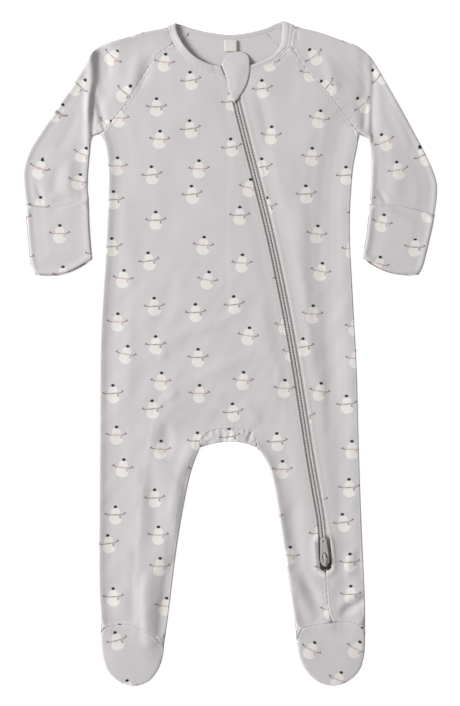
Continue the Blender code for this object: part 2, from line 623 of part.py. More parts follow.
def zip_sections(near, far, low, high, start, stop):
    """Four-cornered sections across the zip, between two distances from its middle."""
    out = []
    for i in range(start, stop):
        here = ZIP[i]
        along = (ZIP[min(i + 1, len(ZIP) - 1)] - ZIP[max(i - 1, 0)]).normalized()
        across = Vector((-along.y, along.x))
        level = cloth_height(here.x, here.y)
        a, b = here + across * near, here + across * far
        out.append([(a.x, a.y, level + low), (b.x, b.y, level + low), (b.x, b.y, level + high),
                    (a.x, a.y, level + high)])
    return out


def make_zip():
    last = len(ZIP)
    tape_low, tape_high = -TAPE_WALL - 0.4, -0.4
    strip("zip_tape_left", zip_sections(-TAPE_HALF, -GAP / 2, tape_low, tape_high, 0, last), "tape")
    strip("zip_tape_right", zip_sections(GAP / 2, TAPE_HALF, tape_low, tape_high, 0, last), "tape")
    strip("zip_chain", zip_sections(-CHAIN_HALF, CHAIN_HALF, 0, CHAIN_HIGH, 0, last), "coil")


def hinge_place():
    """The pull's hinge: its place on the zip, the way up the chain, and the chain's top there."""
    end = ZIP[-1]
    up_chain = (ZIP[-2] - end).normalized()
    place = end + up_chain * HINGE_FROM_END
    return place, up_chain, cloth_height(place.x, place.y) + CHAIN_HIGH


def zip_frame(level):
    """A matrix whose x runs across the zip, y up the chain and z up, at the hinge, at a level."""
    place, up, _ = hinge_place()
    return Matrix(((up.y, up.x, 0, place.x), (-up.x, up.y, 0, place.y), (0, 0, 1, level), (0, 0, 0, 1)))


def placed(name, bm, finish, level):
    made = add_object(name, bm, finish)
    where = zip_frame(level)
    where.translation *= MM
    made.matrix_world = where
    return made


def slider_outline():
    half = [(SLIDER_NOSE_HALF, SLIDER_NOSE), (SLIDER_HALF * 0.84, 1.2), (SLIDER_HALF, -2.4),
            (SLIDER_HALF * 0.97, -4.6), (SLIDER_TAIL_HALF, SLIDER_TAIL)]
    left = [(-x, y) for x, y in reversed(half)]
    return half[::-1] + [(1.5, SLIDER_NOSE + 0.7), (-1.5, SLIDER_NOSE + 0.7)] + left[::-1]


def make_slider():
    _, _, chain_top = hinge_place()
    plate_low = chain_top + GAP
    flange_low = chain_top - CHAIN_HIGH - 0.1
    plate_top = plate_low + SLIDER_PLATE
    body = placed("zip_slider", extruded(slider_outline(), flange_low, plate_top), "painted_zinc", 0)
    channel = [(-CHANNEL_HALF, -12), (CHANNEL_HALF, -12), (CHANNEL_HALF, 12), (-CHANNEL_HALF, 12)]
    cutter = placed("slider_channel", extruded(channel, flange_low - 2, plate_low), "painted_zinc", 0)
    combine(body, cutter, "DIFFERENCE")
    bail = placed("slider_bail", bail_mesh(plate_top), "painted_zinc", 0)
    combine(body, bail, "UNION")
    return plate_top + HINGE_ABOVE_PLATE


def bail_mesh(plate_top):
    """The arch over the crossbar, along the zip, with both feet sunk into the plate."""
    outside, hole = [], []
    for i in range(9):
        angle = math.pi * i / 8
        outside.append((math.cos(angle) * BAIL_REACH, BAIL_CLEAR * 0.35 + math.sin(angle) ** 0.7
                        * (BAIL_CLEAR * 0.65 + BAIL_WALL)))
        hole.append((math.cos(angle) * (BAIL_REACH - BAIL_WALL), BAIL_CLEAR * 0.35
                     + math.sin(angle) ** 0.7 * BAIL_CLEAR * 0.65))
    foot = -0.6
    profile = [(BAIL_REACH, foot), *outside, (-BAIL_REACH, foot), (-BAIL_REACH + BAIL_WALL, foot),
               *hole[::-1], (BAIL_REACH - BAIL_WALL, foot)]
    bm = bmesh.new()
    face = bm.faces.new([bm.verts.new((-BAIL_HALF, y, plate_top + z)) for y, z in profile])
    pulled = bmesh.ops.extrude_face_region(bm, geom=[face], use_keep_orig=True)["geom"]
    moved = [v for v in pulled if isinstance(v, bmesh.types.BMVert)]
    bmesh.ops.translate(bm, verts=moved, vec=(2 * BAIL_HALF, 0, 0))
    return bm


def pull_outline():
    """Round tip, straight sides that widen to the eye, and two arms beside the bail."""
    right = [(PULL_WINDOW_HALF, PULL_BACK), (PULL_EYE_HALF - 0.7, PULL_BACK), (PULL_EYE_HALF, 0.4),
             (PULL_EYE_HALF, 4.5), (PULL_TIP_HALF, PULL_TIP - 2)]
    tip = [(PULL_TIP_HALF * math.cos(a), PULL_TIP - 2 + 2 * math.sin(a))
           for a in (math.pi * k / 6 for k in range(1, 6))]
    left = [(-x, y) for x, y in reversed(right)]
    eye = [(-PULL_WINDOW_HALF, PULL_WINDOW_END - 1), (-PULL_WINDOW_HALF + 1, PULL_WINDOW_END),
           (PULL_WINDOW_HALF - 1, PULL_WINDOW_END), (PULL_WINDOW_HALF, PULL_WINDOW_END - 1)]
    return right + tip + left + eye


def make_pull(hinge_level):
    """The pull's origin is on its hinge, and it lies up the chain, tipped down a little."""
    pull = placed("zip_pull", extruded(pull_outline(), -PULL_WALL / 2, PULL_WALL / 2), "painted_zinc", 0)
    bar = bmesh.new()
    bmesh.ops.create_cone(bar, cap_ends=True, segments=16, radius1=CROSSBAR_R, radius2=CROSSBAR_R,
                          depth=2 * PULL_WINDOW_HALF + 1)
    bmesh.ops.rotate(bar, verts=bar.verts, matrix=Matrix.Rotation(math.pi / 2, 3, "Y"))
    bar = placed("pull_crossbar", bar, "painted_zinc", 0)
    hole = bmesh.new()
    bmesh.ops.create_cone(hole, cap_ends=True, segments=16, radius1=PULL_HOLE_R, radius2=PULL_HOLE_R,
                          depth=4 * PULL_WALL)
    bmesh.ops.translate(hole, verts=hole.verts, vec=(0, PULL_HOLE_AT, 0))
    hole = placed("pull_hole", hole, "painted_zinc", 0)
    tipped = zip_frame(hinge_level) @ Matrix.Rotation(-PULL_TILT, 4, "X")
    tipped.translation *= MM
    for made in (pull, bar, hole):
        made.matrix_world = tipped
    combine(pull, bar, "UNION")
    combine(pull, hole, "DIFFERENCE")


def main():
    for old in list(bpy.data.objects):
        bpy.data.objects.remove(old)
    panel("back", outline_back(), back_level, step=None)
    make_front()
    make_feet()
    make_sleeve("left", SLEEVE_LEFT, SEAM_FL[2 * RAGLAN_AT_LEFT:][::-1], RAGLAN_L,
                SEAM_B[:2 * BACK_RAGLAN_AT_LEFT + 1], BACK_RAGLAN_L)
    make_sleeve("right", SLEEVE_RIGHT, SEAM_FR[2 * RAGLAN_AT_RIGHT:][::-1], RAGLAN_R,
                SEAM_B[2 * BACK_RAGLAN_AT_RIGHT:][::-1], BACK_RAGLAN_R)
    make_neckband()
    make_small_cloth()
    make_zip()
    make_pull(make_slider())


main()
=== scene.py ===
# %% [markdown]
# A baby's footed sleepsuit lies on its back on a pale floor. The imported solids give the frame: where each cut
# piece lies and how high. This file makes the cloth itself as thin shells, and then the sewing, the zip and
# the print. Lengths are written in millimetres and turned to metres once, when a mesh is finished.

# %% The frame and the units
import math
from functools import partial

import bmesh
import bpy
import numpy as np
from mathutils import Matrix, Vector, noise


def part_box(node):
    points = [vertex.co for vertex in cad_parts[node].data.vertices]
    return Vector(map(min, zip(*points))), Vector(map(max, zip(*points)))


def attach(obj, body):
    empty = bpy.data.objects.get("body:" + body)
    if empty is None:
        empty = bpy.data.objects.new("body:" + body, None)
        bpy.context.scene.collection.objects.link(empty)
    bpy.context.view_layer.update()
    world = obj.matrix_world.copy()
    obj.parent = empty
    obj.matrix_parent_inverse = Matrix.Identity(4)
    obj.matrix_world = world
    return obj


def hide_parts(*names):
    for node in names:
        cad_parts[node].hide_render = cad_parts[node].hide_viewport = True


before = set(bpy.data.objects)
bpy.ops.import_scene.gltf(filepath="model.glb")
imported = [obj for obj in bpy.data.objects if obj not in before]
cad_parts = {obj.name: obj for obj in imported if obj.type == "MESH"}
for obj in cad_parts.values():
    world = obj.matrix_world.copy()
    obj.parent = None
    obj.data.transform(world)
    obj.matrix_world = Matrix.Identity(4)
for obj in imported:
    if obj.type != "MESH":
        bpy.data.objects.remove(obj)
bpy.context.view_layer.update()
MM = 0.001
TINY = 1e-6               # mm; keeps a division from failing where two points are the same
GARMENT, PULL = "garment", "pull"

# %% [markdown]
# The camera looks straight down on the suit, as one looks at a garment laid on a table. A long lens from one
# and a half metres up keeps both feet and the collar at one scale.

# %% The camera
LENS, SENSOR = 85, 36
FRAME_HEIGHT = 656.6                         # what the frame's long side covers on the floor

camera_data = bpy.data.cameras.new("overhead")
camera_data.lens = LENS
camera_data.sensor_width = SENSOR
camera = bpy.data.objects.new("overhead", camera_data)
camera.location = (0, 0, FRAME_HEIGHT * MM * LENS / SENSOR)
bpy.context.scene.collection.objects.link(camera)
bpy.context.scene.camera = camera
print("camera height:", round(camera.location.z, 3), "m")

# %% [markdown]
# Studio light for cloth is soft, so that folds show without hard shadows: one large lamp low on the left, which
# makes the left half a little brighter, and white all round.

# %% The light
KEY_PLACE, KEY_SIZE, KEY_POWER = (-3.6, 0.63, 2.34), 1.9, 262
SKY = 0.4

lamp = bpy.data.lights.new("key", "AREA")
lamp.shape = "DISK"
lamp.size = KEY_SIZE
lamp.energy = KEY_POWER
key = bpy.data.objects.new("key", lamp)
key.location = KEY_PLACE
key.rotation_euler = (-Vector(KEY_PLACE)).to_track_quat("-Z", "Y").to_euler()
bpy.context.scene.collection.objects.link(key)
world = bpy.data.worlds.new("studio")
world.use_nodes = True
background = world.node_tree.nodes["Background"]
background.inputs["Color"].default_value = (1, 1, 1, 1)
background.inputs["Strength"].default_value = SKY
bpy.context.scene.world = world
bpy.context.scene.view_settings.view_transform = "Standard"
bpy.context.scene.view_settings.look = "None"

# %% [markdown]
# Colours are written as the hex values that one reads off a swatch. Blender's shaders work in linear light,
# so one function turns them.

# %% Colours and a way to add shader nodes
def linear(hex_colour):
    """An sRGB hex colour as linear red, green, blue and alpha."""
    parts = [int(hex_colour[i:i + 2], 16) / 255 for i in (1, 3, 5)]
    return (*[p / 12.92 if p <= 0.04045 else ((p + 0.055) / 1.055) ** 2.4 for p in parts], 1)


def add_node(tree, kind, settings=None, **inputs):
    """Adds a node, sets its properties, and gives its inputs values or links.

    An input's name stands for its socket, with _ for a space, or i0, i1 and so on for its place.
    """
    node = tree.nodes.new(kind)
    for key, value in (settings or {}).items():
        setattr(node, key, value)
    for key, value in inputs.items():
        socket = node.inputs[int(key[1:])] if key[0] == "i" and key[1:].isdigit() \
            else node.inputs[key.replace("_", " ")]
        if isinstance(value, bpy.types.NodeSocket):
            tree.links.new(value, socket)
        else:
            socket.default_value = value
    return node


def new_finish(name, colour, roughness, **sockets):
    """A material with a Principled shader, and its shader and tree."""
    finish = bpy.data.materials.new(name)
    finish.use_nodes = True
    shader = finish.node_tree.nodes["Principled BSDF"]
    shader.inputs["Base Color"].default_value = linear(colour)
    shader.inputs["Roughness"].default_value = roughness
    for key, value in sockets.items():
        shader.inputs[key.replace("_", " ")].default_value = value
    return finish, shader, finish.node_tree


print("white in linear light:", linear("#FFFFFF"))

# %% [markdown]
# The floor is a white table with a little light of its own, so the suit throws hardly any shadow on it. It is
# one square, made much larger than the suit so that its edges stay out of sight.

# %% The floor
FLOOR_REACH, FLOOR_DROP = 3.0, 0.0002        # metres; it lies a hair under the suit, so that the two never flicker
TABLE_GLOW = 0.65

floor_finish, _, _ = new_finish("white_light_table", "#F9F9F9", 0.95, Emission_Color=(1, 1, 1, 1),
                                Emission_Strength=TABLE_GLOW)
bm = bmesh.new()
bmesh.ops.create_grid(bm, x_segments=1, y_segments=1, size=FLOOR_REACH)
bmesh.ops.translate(bm, verts=bm.verts, vec=(0, 0, -FLOOR_DROP))
floor_mesh = bpy.data.meshes.new("floor")
bm.to_mesh(floor_mesh)
bm.free()
floor_mesh.materials.append(floor_finish)
floor = bpy.data.objects.new("floor", floor_mesh)
bpy.context.scene.collection.objects.link(floor)
print("floor:", floor.name)

# %% [markdown]
# The print is a scatter of small snowmen in cream, with a dot of a hat, twig arms and a scarf. They stand in a
# half-drop repeat, each turned and shifted a little. Ink on cloth has no thickness, so it is drawn by the
# material: every part is an ellipse, which only needs a place, a size and a turn.

# %% The print's ellipses and its repeat
REPEAT_WIDE, REPEAT_HIGH = 38.5, 36.0        # the repeat of the print
SHIFT = (18.0, 15.0)                         # how far a snowman may stand from the middle of its place
TURN = 0.35                                  # and how far it may turn, in radians
INK_SOFT = 0.35                              # how far the ink bleeds at an edge
SNOWMAN = [                                  # ink, centre, half width and half height, turn, in mm and radians
    ("cream", 0.0, -3.9, 5.9, 5.0, 0), ("cream", 0.2, 2.9, 4.3, 3.8, 0),
    ("twig", -7.3, 0.6, 2.3, 0.42, -0.2), ("twig", 7.3, 0.5, 2.3, 0.42, 0.3),
    ("twig", -8.6, 1.5, 1.1, 0.5, 0.9), ("twig", 9.0, 1.7, 1.2, 0.5, -0.8),
    ("scarf", 0.0, 0.1, 4.9, 0.6, 0.02), ("scarf", 4.4, -1.9, 0.8, 1.8, 0.3),
    ("hat", 0.4, 7.6, 1.7, 1.35, 0)]


def ellipse_mask(tree, local, x, y, half_wide, half_high, turn):
    """A mask that is 1 inside an ellipse of the print and 0 outside."""
    moved = add_node(tree, "ShaderNodeVectorMath", {"operation": "SUBTRACT"}, i0=local, i1=(x, y, 0))
    turned = add_node(tree, "ShaderNodeVectorRotate", {"rotation_type": "Z_AXIS"},
                      Vector=moved.outputs[0], Angle=-turn)
    scaled = add_node(tree, "ShaderNodeVectorMath", {"operation": "MULTIPLY"}, i0=turned.outputs[0],
                      i1=(1 / half_wide, 1 / half_high, 0))
    length = add_node(tree, "ShaderNodeVectorMath", {"operation": "LENGTH"}, i0=scaled.outputs[0])
    edge = INK_SOFT / min(half_wide, half_high)
    mask = add_node(tree, "ShaderNodeMapRange", {"interpolation_type": "SMOOTHSTEP"},
                    Value=length.outputs["Value"], From_Min=1 + edge, From_Max=1 - edge)
    return mask.outputs["Result"]


def snowman_place(tree, millimetres):
    """The place in the nearest snowman's own frame, and a random value for each snowman."""
    split = add_node(tree, "ShaderNodeSeparateXYZ", Vector=millimetres)
    x, y = split.outputs["X"], split.outputs["Y"]
    wide = add_node(tree, "ShaderNodeMath", {"operation": "DIVIDE"}, i0=x, i1=REPEAT_WIDE)
    column = add_node(tree, "ShaderNodeMath", {"operation": "FLOOR"}, i0=wide.outputs[0])
    drop = add_node(tree, "ShaderNodeMath", {"operation": "MODULO"}, i0=column.outputs[0], i1=2.0)
    drop = add_node(tree, "ShaderNodeMath", {"operation": "ABSOLUTE"}, i0=drop.outputs[0])
    dropped = add_node(tree, "ShaderNodeMath", {"operation": "MULTIPLY_ADD"}, i0=drop.outputs[0],
                       i1=REPEAT_HIGH / 2, i2=y)
    high = add_node(tree, "ShaderNodeMath", {"operation": "DIVIDE"}, i0=dropped.outputs[0], i1=REPEAT_HIGH)
    row = add_node(tree, "ShaderNodeMath", {"operation": "FLOOR"}, i0=high.outputs[0])
    place = add_node(tree, "ShaderNodeCombineXYZ", X=column.outputs[0], Y=row.outputs[0])
    here = add_node(tree, "ShaderNodeCombineXYZ", X=x, Y=dropped.outputs[0])
    chance = add_node(tree, "ShaderNodeTexWhiteNoise", {"noise_dimensions": "2D"}, Vector=place.outputs[0])
    middle = add_node(tree, "ShaderNodeVectorMath", {"operation": "ADD"}, i0=place.outputs[0],
                      i1=(0.5, 0.5, 0))
    middle = add_node(tree, "ShaderNodeVectorMath", {"operation": "MULTIPLY"}, i0=middle.outputs[0],
                      i1=(REPEAT_WIDE, REPEAT_HIGH, 0))
    centred = add_node(tree, "ShaderNodeVectorMath", {"operation": "SUBTRACT"},
                       i0=chance.outputs["Color"], i1=(0.5, 0.5, 0.5))
    shift = add_node(tree, "ShaderNodeVectorMath", {"operation": "MULTIPLY"}, i0=centred.outputs[0],
                     i1=(SHIFT[0], SHIFT[1], 0))
    middle = add_node(tree, "ShaderNodeVectorMath", {"operation": "ADD"}, i0=middle.outputs[0],
                      i1=shift.outputs[0])
    local = add_node(tree, "ShaderNodeVectorMath", {"operation": "SUBTRACT"}, i0=here.outputs[0],
                     i1=middle.outputs[0])
    angle = add_node(tree, "ShaderNodeMath", {"operation": "MULTIPLY_ADD"},
                     i0=chance.outputs["Value"], i1=TURN, i2=-TURN / 2)
    local = add_node(tree, "ShaderNodeVectorRotate", {"rotation_type": "Z_AXIS"},
                     Vector=local.outputs[0], Angle=angle.outputs[0])
    return local.outputs[0], chance.outputs["Value"]


print("a snowman has", len(SNOWMAN), "ellipses, one to each", REPEAT_WIDE, "by", REPEAT_HIGH, "mm")

# %% [markdown]
# The cloth is single jersey: fine cotton yarn knitted into columns of loops. It is matt, with a soft bloom on
# it, and close up it shows faint upright ribs. The pattern reads the piece's own UV map, which holds the cut
# piece laid flat, in metres, so the print bends with the cloth.

# %% The jersey
CLOTH, CLOTH_SHADE = "#C1BDBE", "#BBB7B8"
PRINT_CREAM, PRINT_SHADE = "#DAD7D3", "#CECAC6"
HAT, TWIG, SCARF_PINK, SCARF_GREY = "#161314", "#6E5F5E", "#BCA2A1", "#958B89"
GREY_SCARVES = 0.45                          # the share of the snowmen that wear a grey scarf
STEEP, STEEP_PAINTED_SHADE = 0.7, 0.4                # painted shade: cloth that stands steeper than this is drawn darker, down to this
RIB = 0.8                                    # a column of loops, drawn twice as coarse as it is knitted
FUZZ_SHARE = 0.6                             # how much of the relief is loose fibre, and the rest is ribs
WAVE_TURN = 20                               # radians that a wave texture turns in one unit of its scale


def jersey_finish(name, printed=True):
    """Cotton single jersey, with or without the print on its outside."""
    finish, shader, tree = new_finish(name, CLOTH, 0.88, Sheen_Weight=0.15, Sheen_Roughness=0.6)
    uv = add_node(tree, "ShaderNodeUVMap", {"uv_map": "cloth"})
    scaled = add_node(tree, "ShaderNodeVectorMath", {"operation": "SCALE"}, i0=uv.outputs["UV"], Scale=1000)
    millimetres = scaled.outputs[0]
    tone = add_node(tree, "ShaderNodeTexNoise", Vector=millimetres, Scale=0.035, Detail=3.0)
    base = add_node(tree, "ShaderNodeMix", {"data_type": "RGBA"}, i0=tone.outputs["Fac"],
                    i6=linear(CLOTH_SHADE), i7=linear(CLOTH))
    colour = base.outputs[2]
    if printed:
        local, chance = snowman_place(tree, millimetres)
        wash = add_node(tree, "ShaderNodeTexNoise", Vector=local, Scale=0.22, Detail=2.0)
        cream = add_node(tree, "ShaderNodeMix", {"data_type": "RGBA"}, i0=wash.outputs["Fac"],
                         i6=linear(PRINT_CREAM), i7=linear(PRINT_SHADE))
        pink = add_node(tree, "ShaderNodeMath", {"operation": "GREATER_THAN"}, i0=chance, i1=GREY_SCARVES)
        scarf = add_node(tree, "ShaderNodeMix", {"data_type": "RGBA"}, i0=pink.outputs[0],
                         i6=linear(SCARF_GREY), i7=linear(SCARF_PINK))
        inks = {"cream": cream.outputs[2], "twig": linear(TWIG), "scarf": scarf.outputs[2], "hat": linear(HAT)}
        for ink, *shape in SNOWMAN:
            mask = ellipse_mask(tree, local, *shape)
            colour = add_node(tree, "ShaderNodeMix", {"data_type": "RGBA"}, i0=mask, i6=colour,
                              i7=inks[ink]).outputs[2]
    # painted shade: the colour, print included, is darkened where the cloth's normal tilts away from up, as shade on
    # steep rolled edges
    place = add_node(tree, "ShaderNodeTexCoord")
    up = add_node(tree, "ShaderNodeVectorMath", {"operation": "ABSOLUTE"}, i0=place.outputs["Normal"])
    up = add_node(tree, "ShaderNodeSeparateXYZ", Vector=up.outputs[0])
    painted_shade = add_node(tree, "ShaderNodeMapRange", {"interpolation_type": "SMOOTHSTEP"}, Value=up.outputs["Z"],
                     From_Min=0.0, From_Max=STEEP, To_Min=STEEP_PAINTED_SHADE, To_Max=1.0)
    painted_shade_colour = add_node(tree, "ShaderNodeVectorMath", {"operation": "SCALE"}, i0=colour,
                      Scale=painted_shade.outputs["Result"])
    tree.links.new(painted_shade_colour.outputs[0], shader.inputs["Base Color"])
    ribs = add_node(tree, "ShaderNodeTexWave", {"bands_direction": "X"}, Vector=millimetres,
                    Scale=math.tau / RIB / WAVE_TURN, Distortion=1.2, Detail=1.0, Detail_Scale=0.8)
    fuzz = add_node(tree, "ShaderNodeTexNoise", Vector=millimetres, Scale=0.9, Detail=4.0)
    grain = add_node(tree, "ShaderNodeMix", {"data_type": "FLOAT"}, i0=FUZZ_SHARE,
                     i2=ribs.outputs["Fac"], i3=fuzz.outputs["Fac"])
    bump = add_node(tree, "ShaderNodeBump", Strength=0.35, Distance=0.00015, Height=grain.outputs[0])
    tree.links.new(bump.outputs["Normal"], shader.inputs["Normal"])
    return finish


printed_jersey = jersey_finish("printed_cotton_jersey")
plain_jersey = jersey_finish("plain_cotton_jersey", printed=False)
print("materials:", [m.name for m in bpy.data.materials])

# %% [markdown]
# Each cut piece is known from its solid in the frame. Seen from above, the edge of the solid's upper side is
# the piece's outline, so the cloth here has exactly the cut that the solids have.

# %% Outlines read from the frame
LOOKS_UP = 0.02           # a face that looks up has at least this much of its normal that way
CORNER_TURN = 32          # degrees; an outline that turns more at a point has a sharp corner there


def signed_area(points):
    x, y = points[:, 0], points[:, 1]
    return 0.5 * float(np.sum(x * np.roll(y, -1) - np.roll(x, -1) * y))


def top_loop(bm, above):
    """The largest loop round the faces that look up, in mm and counterclockwise.

    Only faces above a height count, so that a tube gives its upper side and not the inside of its lower one.
    """
    top = {f for f in bm.faces if f.normal.z > LOOKS_UP and f.calc_center_median().z > above * MM}
    border = [e for e in bm.edges if sum(f in top for f in e.link_faces) == 1]
    follow = {}
    for edge in border:
        for v in edge.verts:
            follow.setdefault(v, []).append(edge)
    loops = []
    while border:
        start = border[0].verts[0]
        here, loop = start, []
        while True:
            edge = next((e for e in follow[here] if e in border), None)
            if edge is None:
                break
            border.remove(edge)
            loop.append((here.co.x / MM, here.co.y / MM))
            here = edge.other_vert(here)
        loops.append(np.array(loop))
    outline = max(loops, key=lambda points: abs(signed_area(points)))
    return outline if signed_area(outline) > 0 else outline[::-1]


def solid_outline(node, above=0.0, below=False):
    """The outline of a solid's upper side seen from above, or of its lower side, with that turned up."""
    bm = bmesh.new()
    bm.from_mesh(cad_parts[node].data)
    bmesh.ops.remove_doubles(bm, verts=bm.verts, dist=1e-5)
    if below:
        bmesh.ops.scale(bm, verts=bm.verts, vec=(1, 1, -1))
        bmesh.ops.reverse_faces(bm, faces=bm.faces)
    bm.normal_update()
    outline = top_loop(bm, above)
    bm.free()
    return outline


def rounded(outline, corner=CORNER_TURN, parts=4):
    """The outline with its long runs made smooth, and its sharp corners kept."""
    before, after = np.roll(outline, 1, axis=0), np.roll(outline, -1, axis=0)
    a, b = outline - before, after - outline
    turn = np.degrees(np.arctan2(a[:, 0] * b[:, 1] - a[:, 1] * b[:, 0], (a * b).sum(1)))
    sharp = np.abs(turn) > corner
    count = len(outline)
    out = []
    for i in range(count):
        p0, p1, p2, p3 = (outline[(i + k) % count] for k in (-1, 0, 1, 2))
        span = p2 - p1
        long = np.linalg.norm(span)
        leave = (p2 - p0) * long / (long + np.linalg.norm(p1 - p0))
        arrive = (p3 - p1) * long / (long + np.linalg.norm(p3 - p2))
        leave = span if sharp[i] else leave
        arrive = span if sharp[(i + 1) % count] else arrive
        for t in np.arange(parts) / parts:
            out.append(p1 + leave * t + (3 * span - 2 * leave - arrive) * t * t
                       + (leave + arrive - 2 * span) * t ** 3)
    return np.array(out), outline[sharp]


def smooth_run(points, parts=4):
    """Points on a smooth open curve through the given ones."""
    return rounded(np.array(points, float), corner=360, parts=parts)[0][:-parts]


CLOTH_NODES = ["front_left", "front_right", "gusset", "sleeve_left", "sleeve_right", "foot_upper_left",
               "foot_upper_right", "back", "sole_left", "sole_right", "mitten_cuff_left",
               "mitten_cuff_right", "chin_guard"]
INSIDE_TOP = 1.5          # the inside of the sleeves' lower cloth is below this height
OUTLINES = {node: rounded(solid_outline(node, INSIDE_TOP if "sleeve" in node else 0.0)) for node in CLOTH_NODES}
print("outline points:", {node: len(points) for node, (points, _) in OUTLINES.items()})

# %% [markdown]
# Folds rise and sink by how far a point is from a line. A small class answers that for many points at once,
# and also says which point of the line is nearest and how far along the line it is.

# %% Distances to lines
class Line:
    """A run of straight pieces, open or closed, in mm."""

    def __init__(self, points, closed=False):
        p = np.asarray(points, float)
        q = np.roll(p, -1, axis=0)
        keep = np.linalg.norm(q - p, axis=1) > TINY
        if not closed:
            keep[-1] = False
        self.a, self.b = p[keep], q[keep]
        self.lengths = np.linalg.norm(self.b - self.a, axis=1)
        self.starts = np.concatenate(([0], np.cumsum(self.lengths)[:-1]))

    def nearest(self, points):
        """Distance, nearest point, length along the line, and the side: 1 to the left, -1 to the right."""
        d = self.b - self.a
        t = np.einsum("nmk,mk->nm", points[:, None] - self.a[None], d) / (self.lengths ** 2)[None]
        t = np.clip(t, 0, 1)
        foot = self.a[None] + t[..., None] * d[None]
        away = points[:, None] - foot
        distance = np.linalg.norm(away, axis=2)
        best = distance.argmin(1)
        rows = np.arange(len(points))
        way, gap = d[best], away[rows, best]
        side = np.where(way[:, 0] * gap[:, 1] - way[:, 1] * gap[:, 0] >= 0, 1.0, -1.0)
        return (distance[rows, best], foot[rows, best], self.starts[best] + t[rows, best] * self.lengths[best],
                side)

    def distance(self, points):
        return self.nearest(points)[0]


def inside(points, outline):
    """Which of the points lie inside a closed outline."""
    x, y = points[:, :1], points[:, 1:]
    a, b = outline, np.roll(outline, -1, axis=0)
    spans = (a[:, 1] > y) != (b[:, 1] > y)
    with np.errstate(divide="ignore", invalid="ignore"):
        cross = x < a[:, 0] + (y - a[:, 1]) * (b[:, 0] - a[:, 0]) / (b[:, 1] - a[:, 1])
    return (spans & cross).sum(1) % 2 == 1


def smooth_step(start, end, value):
    """From 0 at the start to 1 at the end, softly. The end may be below the start."""
    t = np.clip((value - start) / (end - start), 0, 1)
    return t * t * (3 - 2 * t)


class Pieces(Line):
    """Loose straight pieces, measured to as a line is."""

    def __init__(self, pairs):
        self.a, self.b = np.array([p for p, _ in pairs]), np.array([q for _, q in pairs])
        self.lengths = np.maximum(np.linalg.norm(self.b - self.a, axis=1), TINY)
        self.starts = np.zeros(len(pairs))


trial = Line([(0, 0), (3, 4)])
print("a line of", trial.lengths.sum(), "mm, and a point", trial.distance(np.array([(4.0, -3.0)]))[0], "mm from it")

# %% [markdown]
# Two lines of the suit are written down as tables: the neckband, as pairs of points on its free edge and its
# seam, and the middle of the zip. What is left of the pieces' outlines, where no other piece is near, is the
# suit's outside. There the cloth is folded over and not sewn.

# %% The neckband, the zip and the suit's outside
BAND_FRONT_LEFT = [(-8.8, 266.9, -4.2, 256.4), (-18.3, 268.1, -20.3, 260.6), (-27.4, 272, -31.5, 265.8),
                   (-35.2, 277.2, -39.5, 271.4), (-42.2, 285, -47.5, 279.6), (-45.8, 291, -52.8, 287.6),
                   (-48.6, 296.5, -55.4, 294.5), (-49.9, 302.5, -57.6, 299.6), (-49.5, 306.3, -58.5, 302.6)]
BAND_BACK = [(-49.5, 306.3, -58.5, 302.6), (-42.8, 304.6, -46, 300.4), (-36.3, 302.3, -37.7, 297.8),
             (-20.5, 298.5, -21, 293.6), (0, 296.2, 0, 291.4), (17.7, 298.2, 17.5, 293.2),
             (33.5, 302.3, 34, 297.3), (40, 305.5, 43, 300.5), (47.5, 308.2, 60.5, 303.6)]
BAND_FRONT_RIGHT = [(2.8, 267, 4.6, 258.6), (12, 266.6, 12.4, 259.8), (20, 267.6, 20.6, 261.4),
                    (31.6, 272, 34, 266.3), (38.6, 276, 43, 271.2), (44, 282, 51.2, 278.8),
                    (46.8, 288, 57.2, 284.6), (47.9, 296, 58.6, 292.6), (48.3, 303, 59.9, 299.2),
                    (47.5, 308.2, 60.5, 303.6)]
SEAM_REACH = 1.6          # outlines this near each other are two sides of one seam
ZIP_LINE = [(-2, 267), (6.5, 231.5), (12.6, 207.5), (38.3, 105), (57.8, 7.5), (74.9, -99.5), (84.4, -155),
            (86.9, -179), (87.8, -190.5), (88.8, -203.3)]
BESIDE_ZIP = 9            # an outline this near the zip's middle is the zip's
COLLAR_FROM, COLLAR_HALF_WIDE = 255, 60.5
zip_line = Line(smooth_run(ZIP_LINE, parts=8))
UPPER = ["front_left", "front_right", "gusset", "sleeve_left", "sleeve_right", "foot_upper_left",
         "foot_upper_right"]
lone = []
for node in UPPER:
    points = OUTLINES[node][0]
    middles = (points + np.roll(points, -1, axis=0)) / 2
    near = np.min([Line(OUTLINES[other][0], closed=True).distance(middles) for other in UPPER if other != node],
                  axis=0)
    collar = (middles[:, 1] > COLLAR_FROM) & (np.abs(middles[:, 0]) < COLLAR_HALF_WIDE)
    for i in np.where((near > SEAM_REACH) & (zip_line.distance(middles) > BESIDE_ZIP) & ~collar)[0]:
        lone.append((points[i], points[(i + 1) % len(points)]))

outer_edges = Pieces(lone)
band_seam = Pieces([(row[2:], after[2:]) for rows in (BAND_FRONT_LEFT, BAND_FRONT_RIGHT, BAND_BACK)
                    for row, after in zip(rows, rows[1:])])
print("outer edge pieces:", len(lone), "of", round(float(outer_edges.lengths.sum())), "mm")

# %% [markdown]
# Real cloth is never even. Three things make it so here: folds, each a line with a width and a height that fade
# out at its ends and that may be steeper on one flank, faint slanting wrinkles, and a soft noise that makes
# the folds wander and the cloth between them uneven.

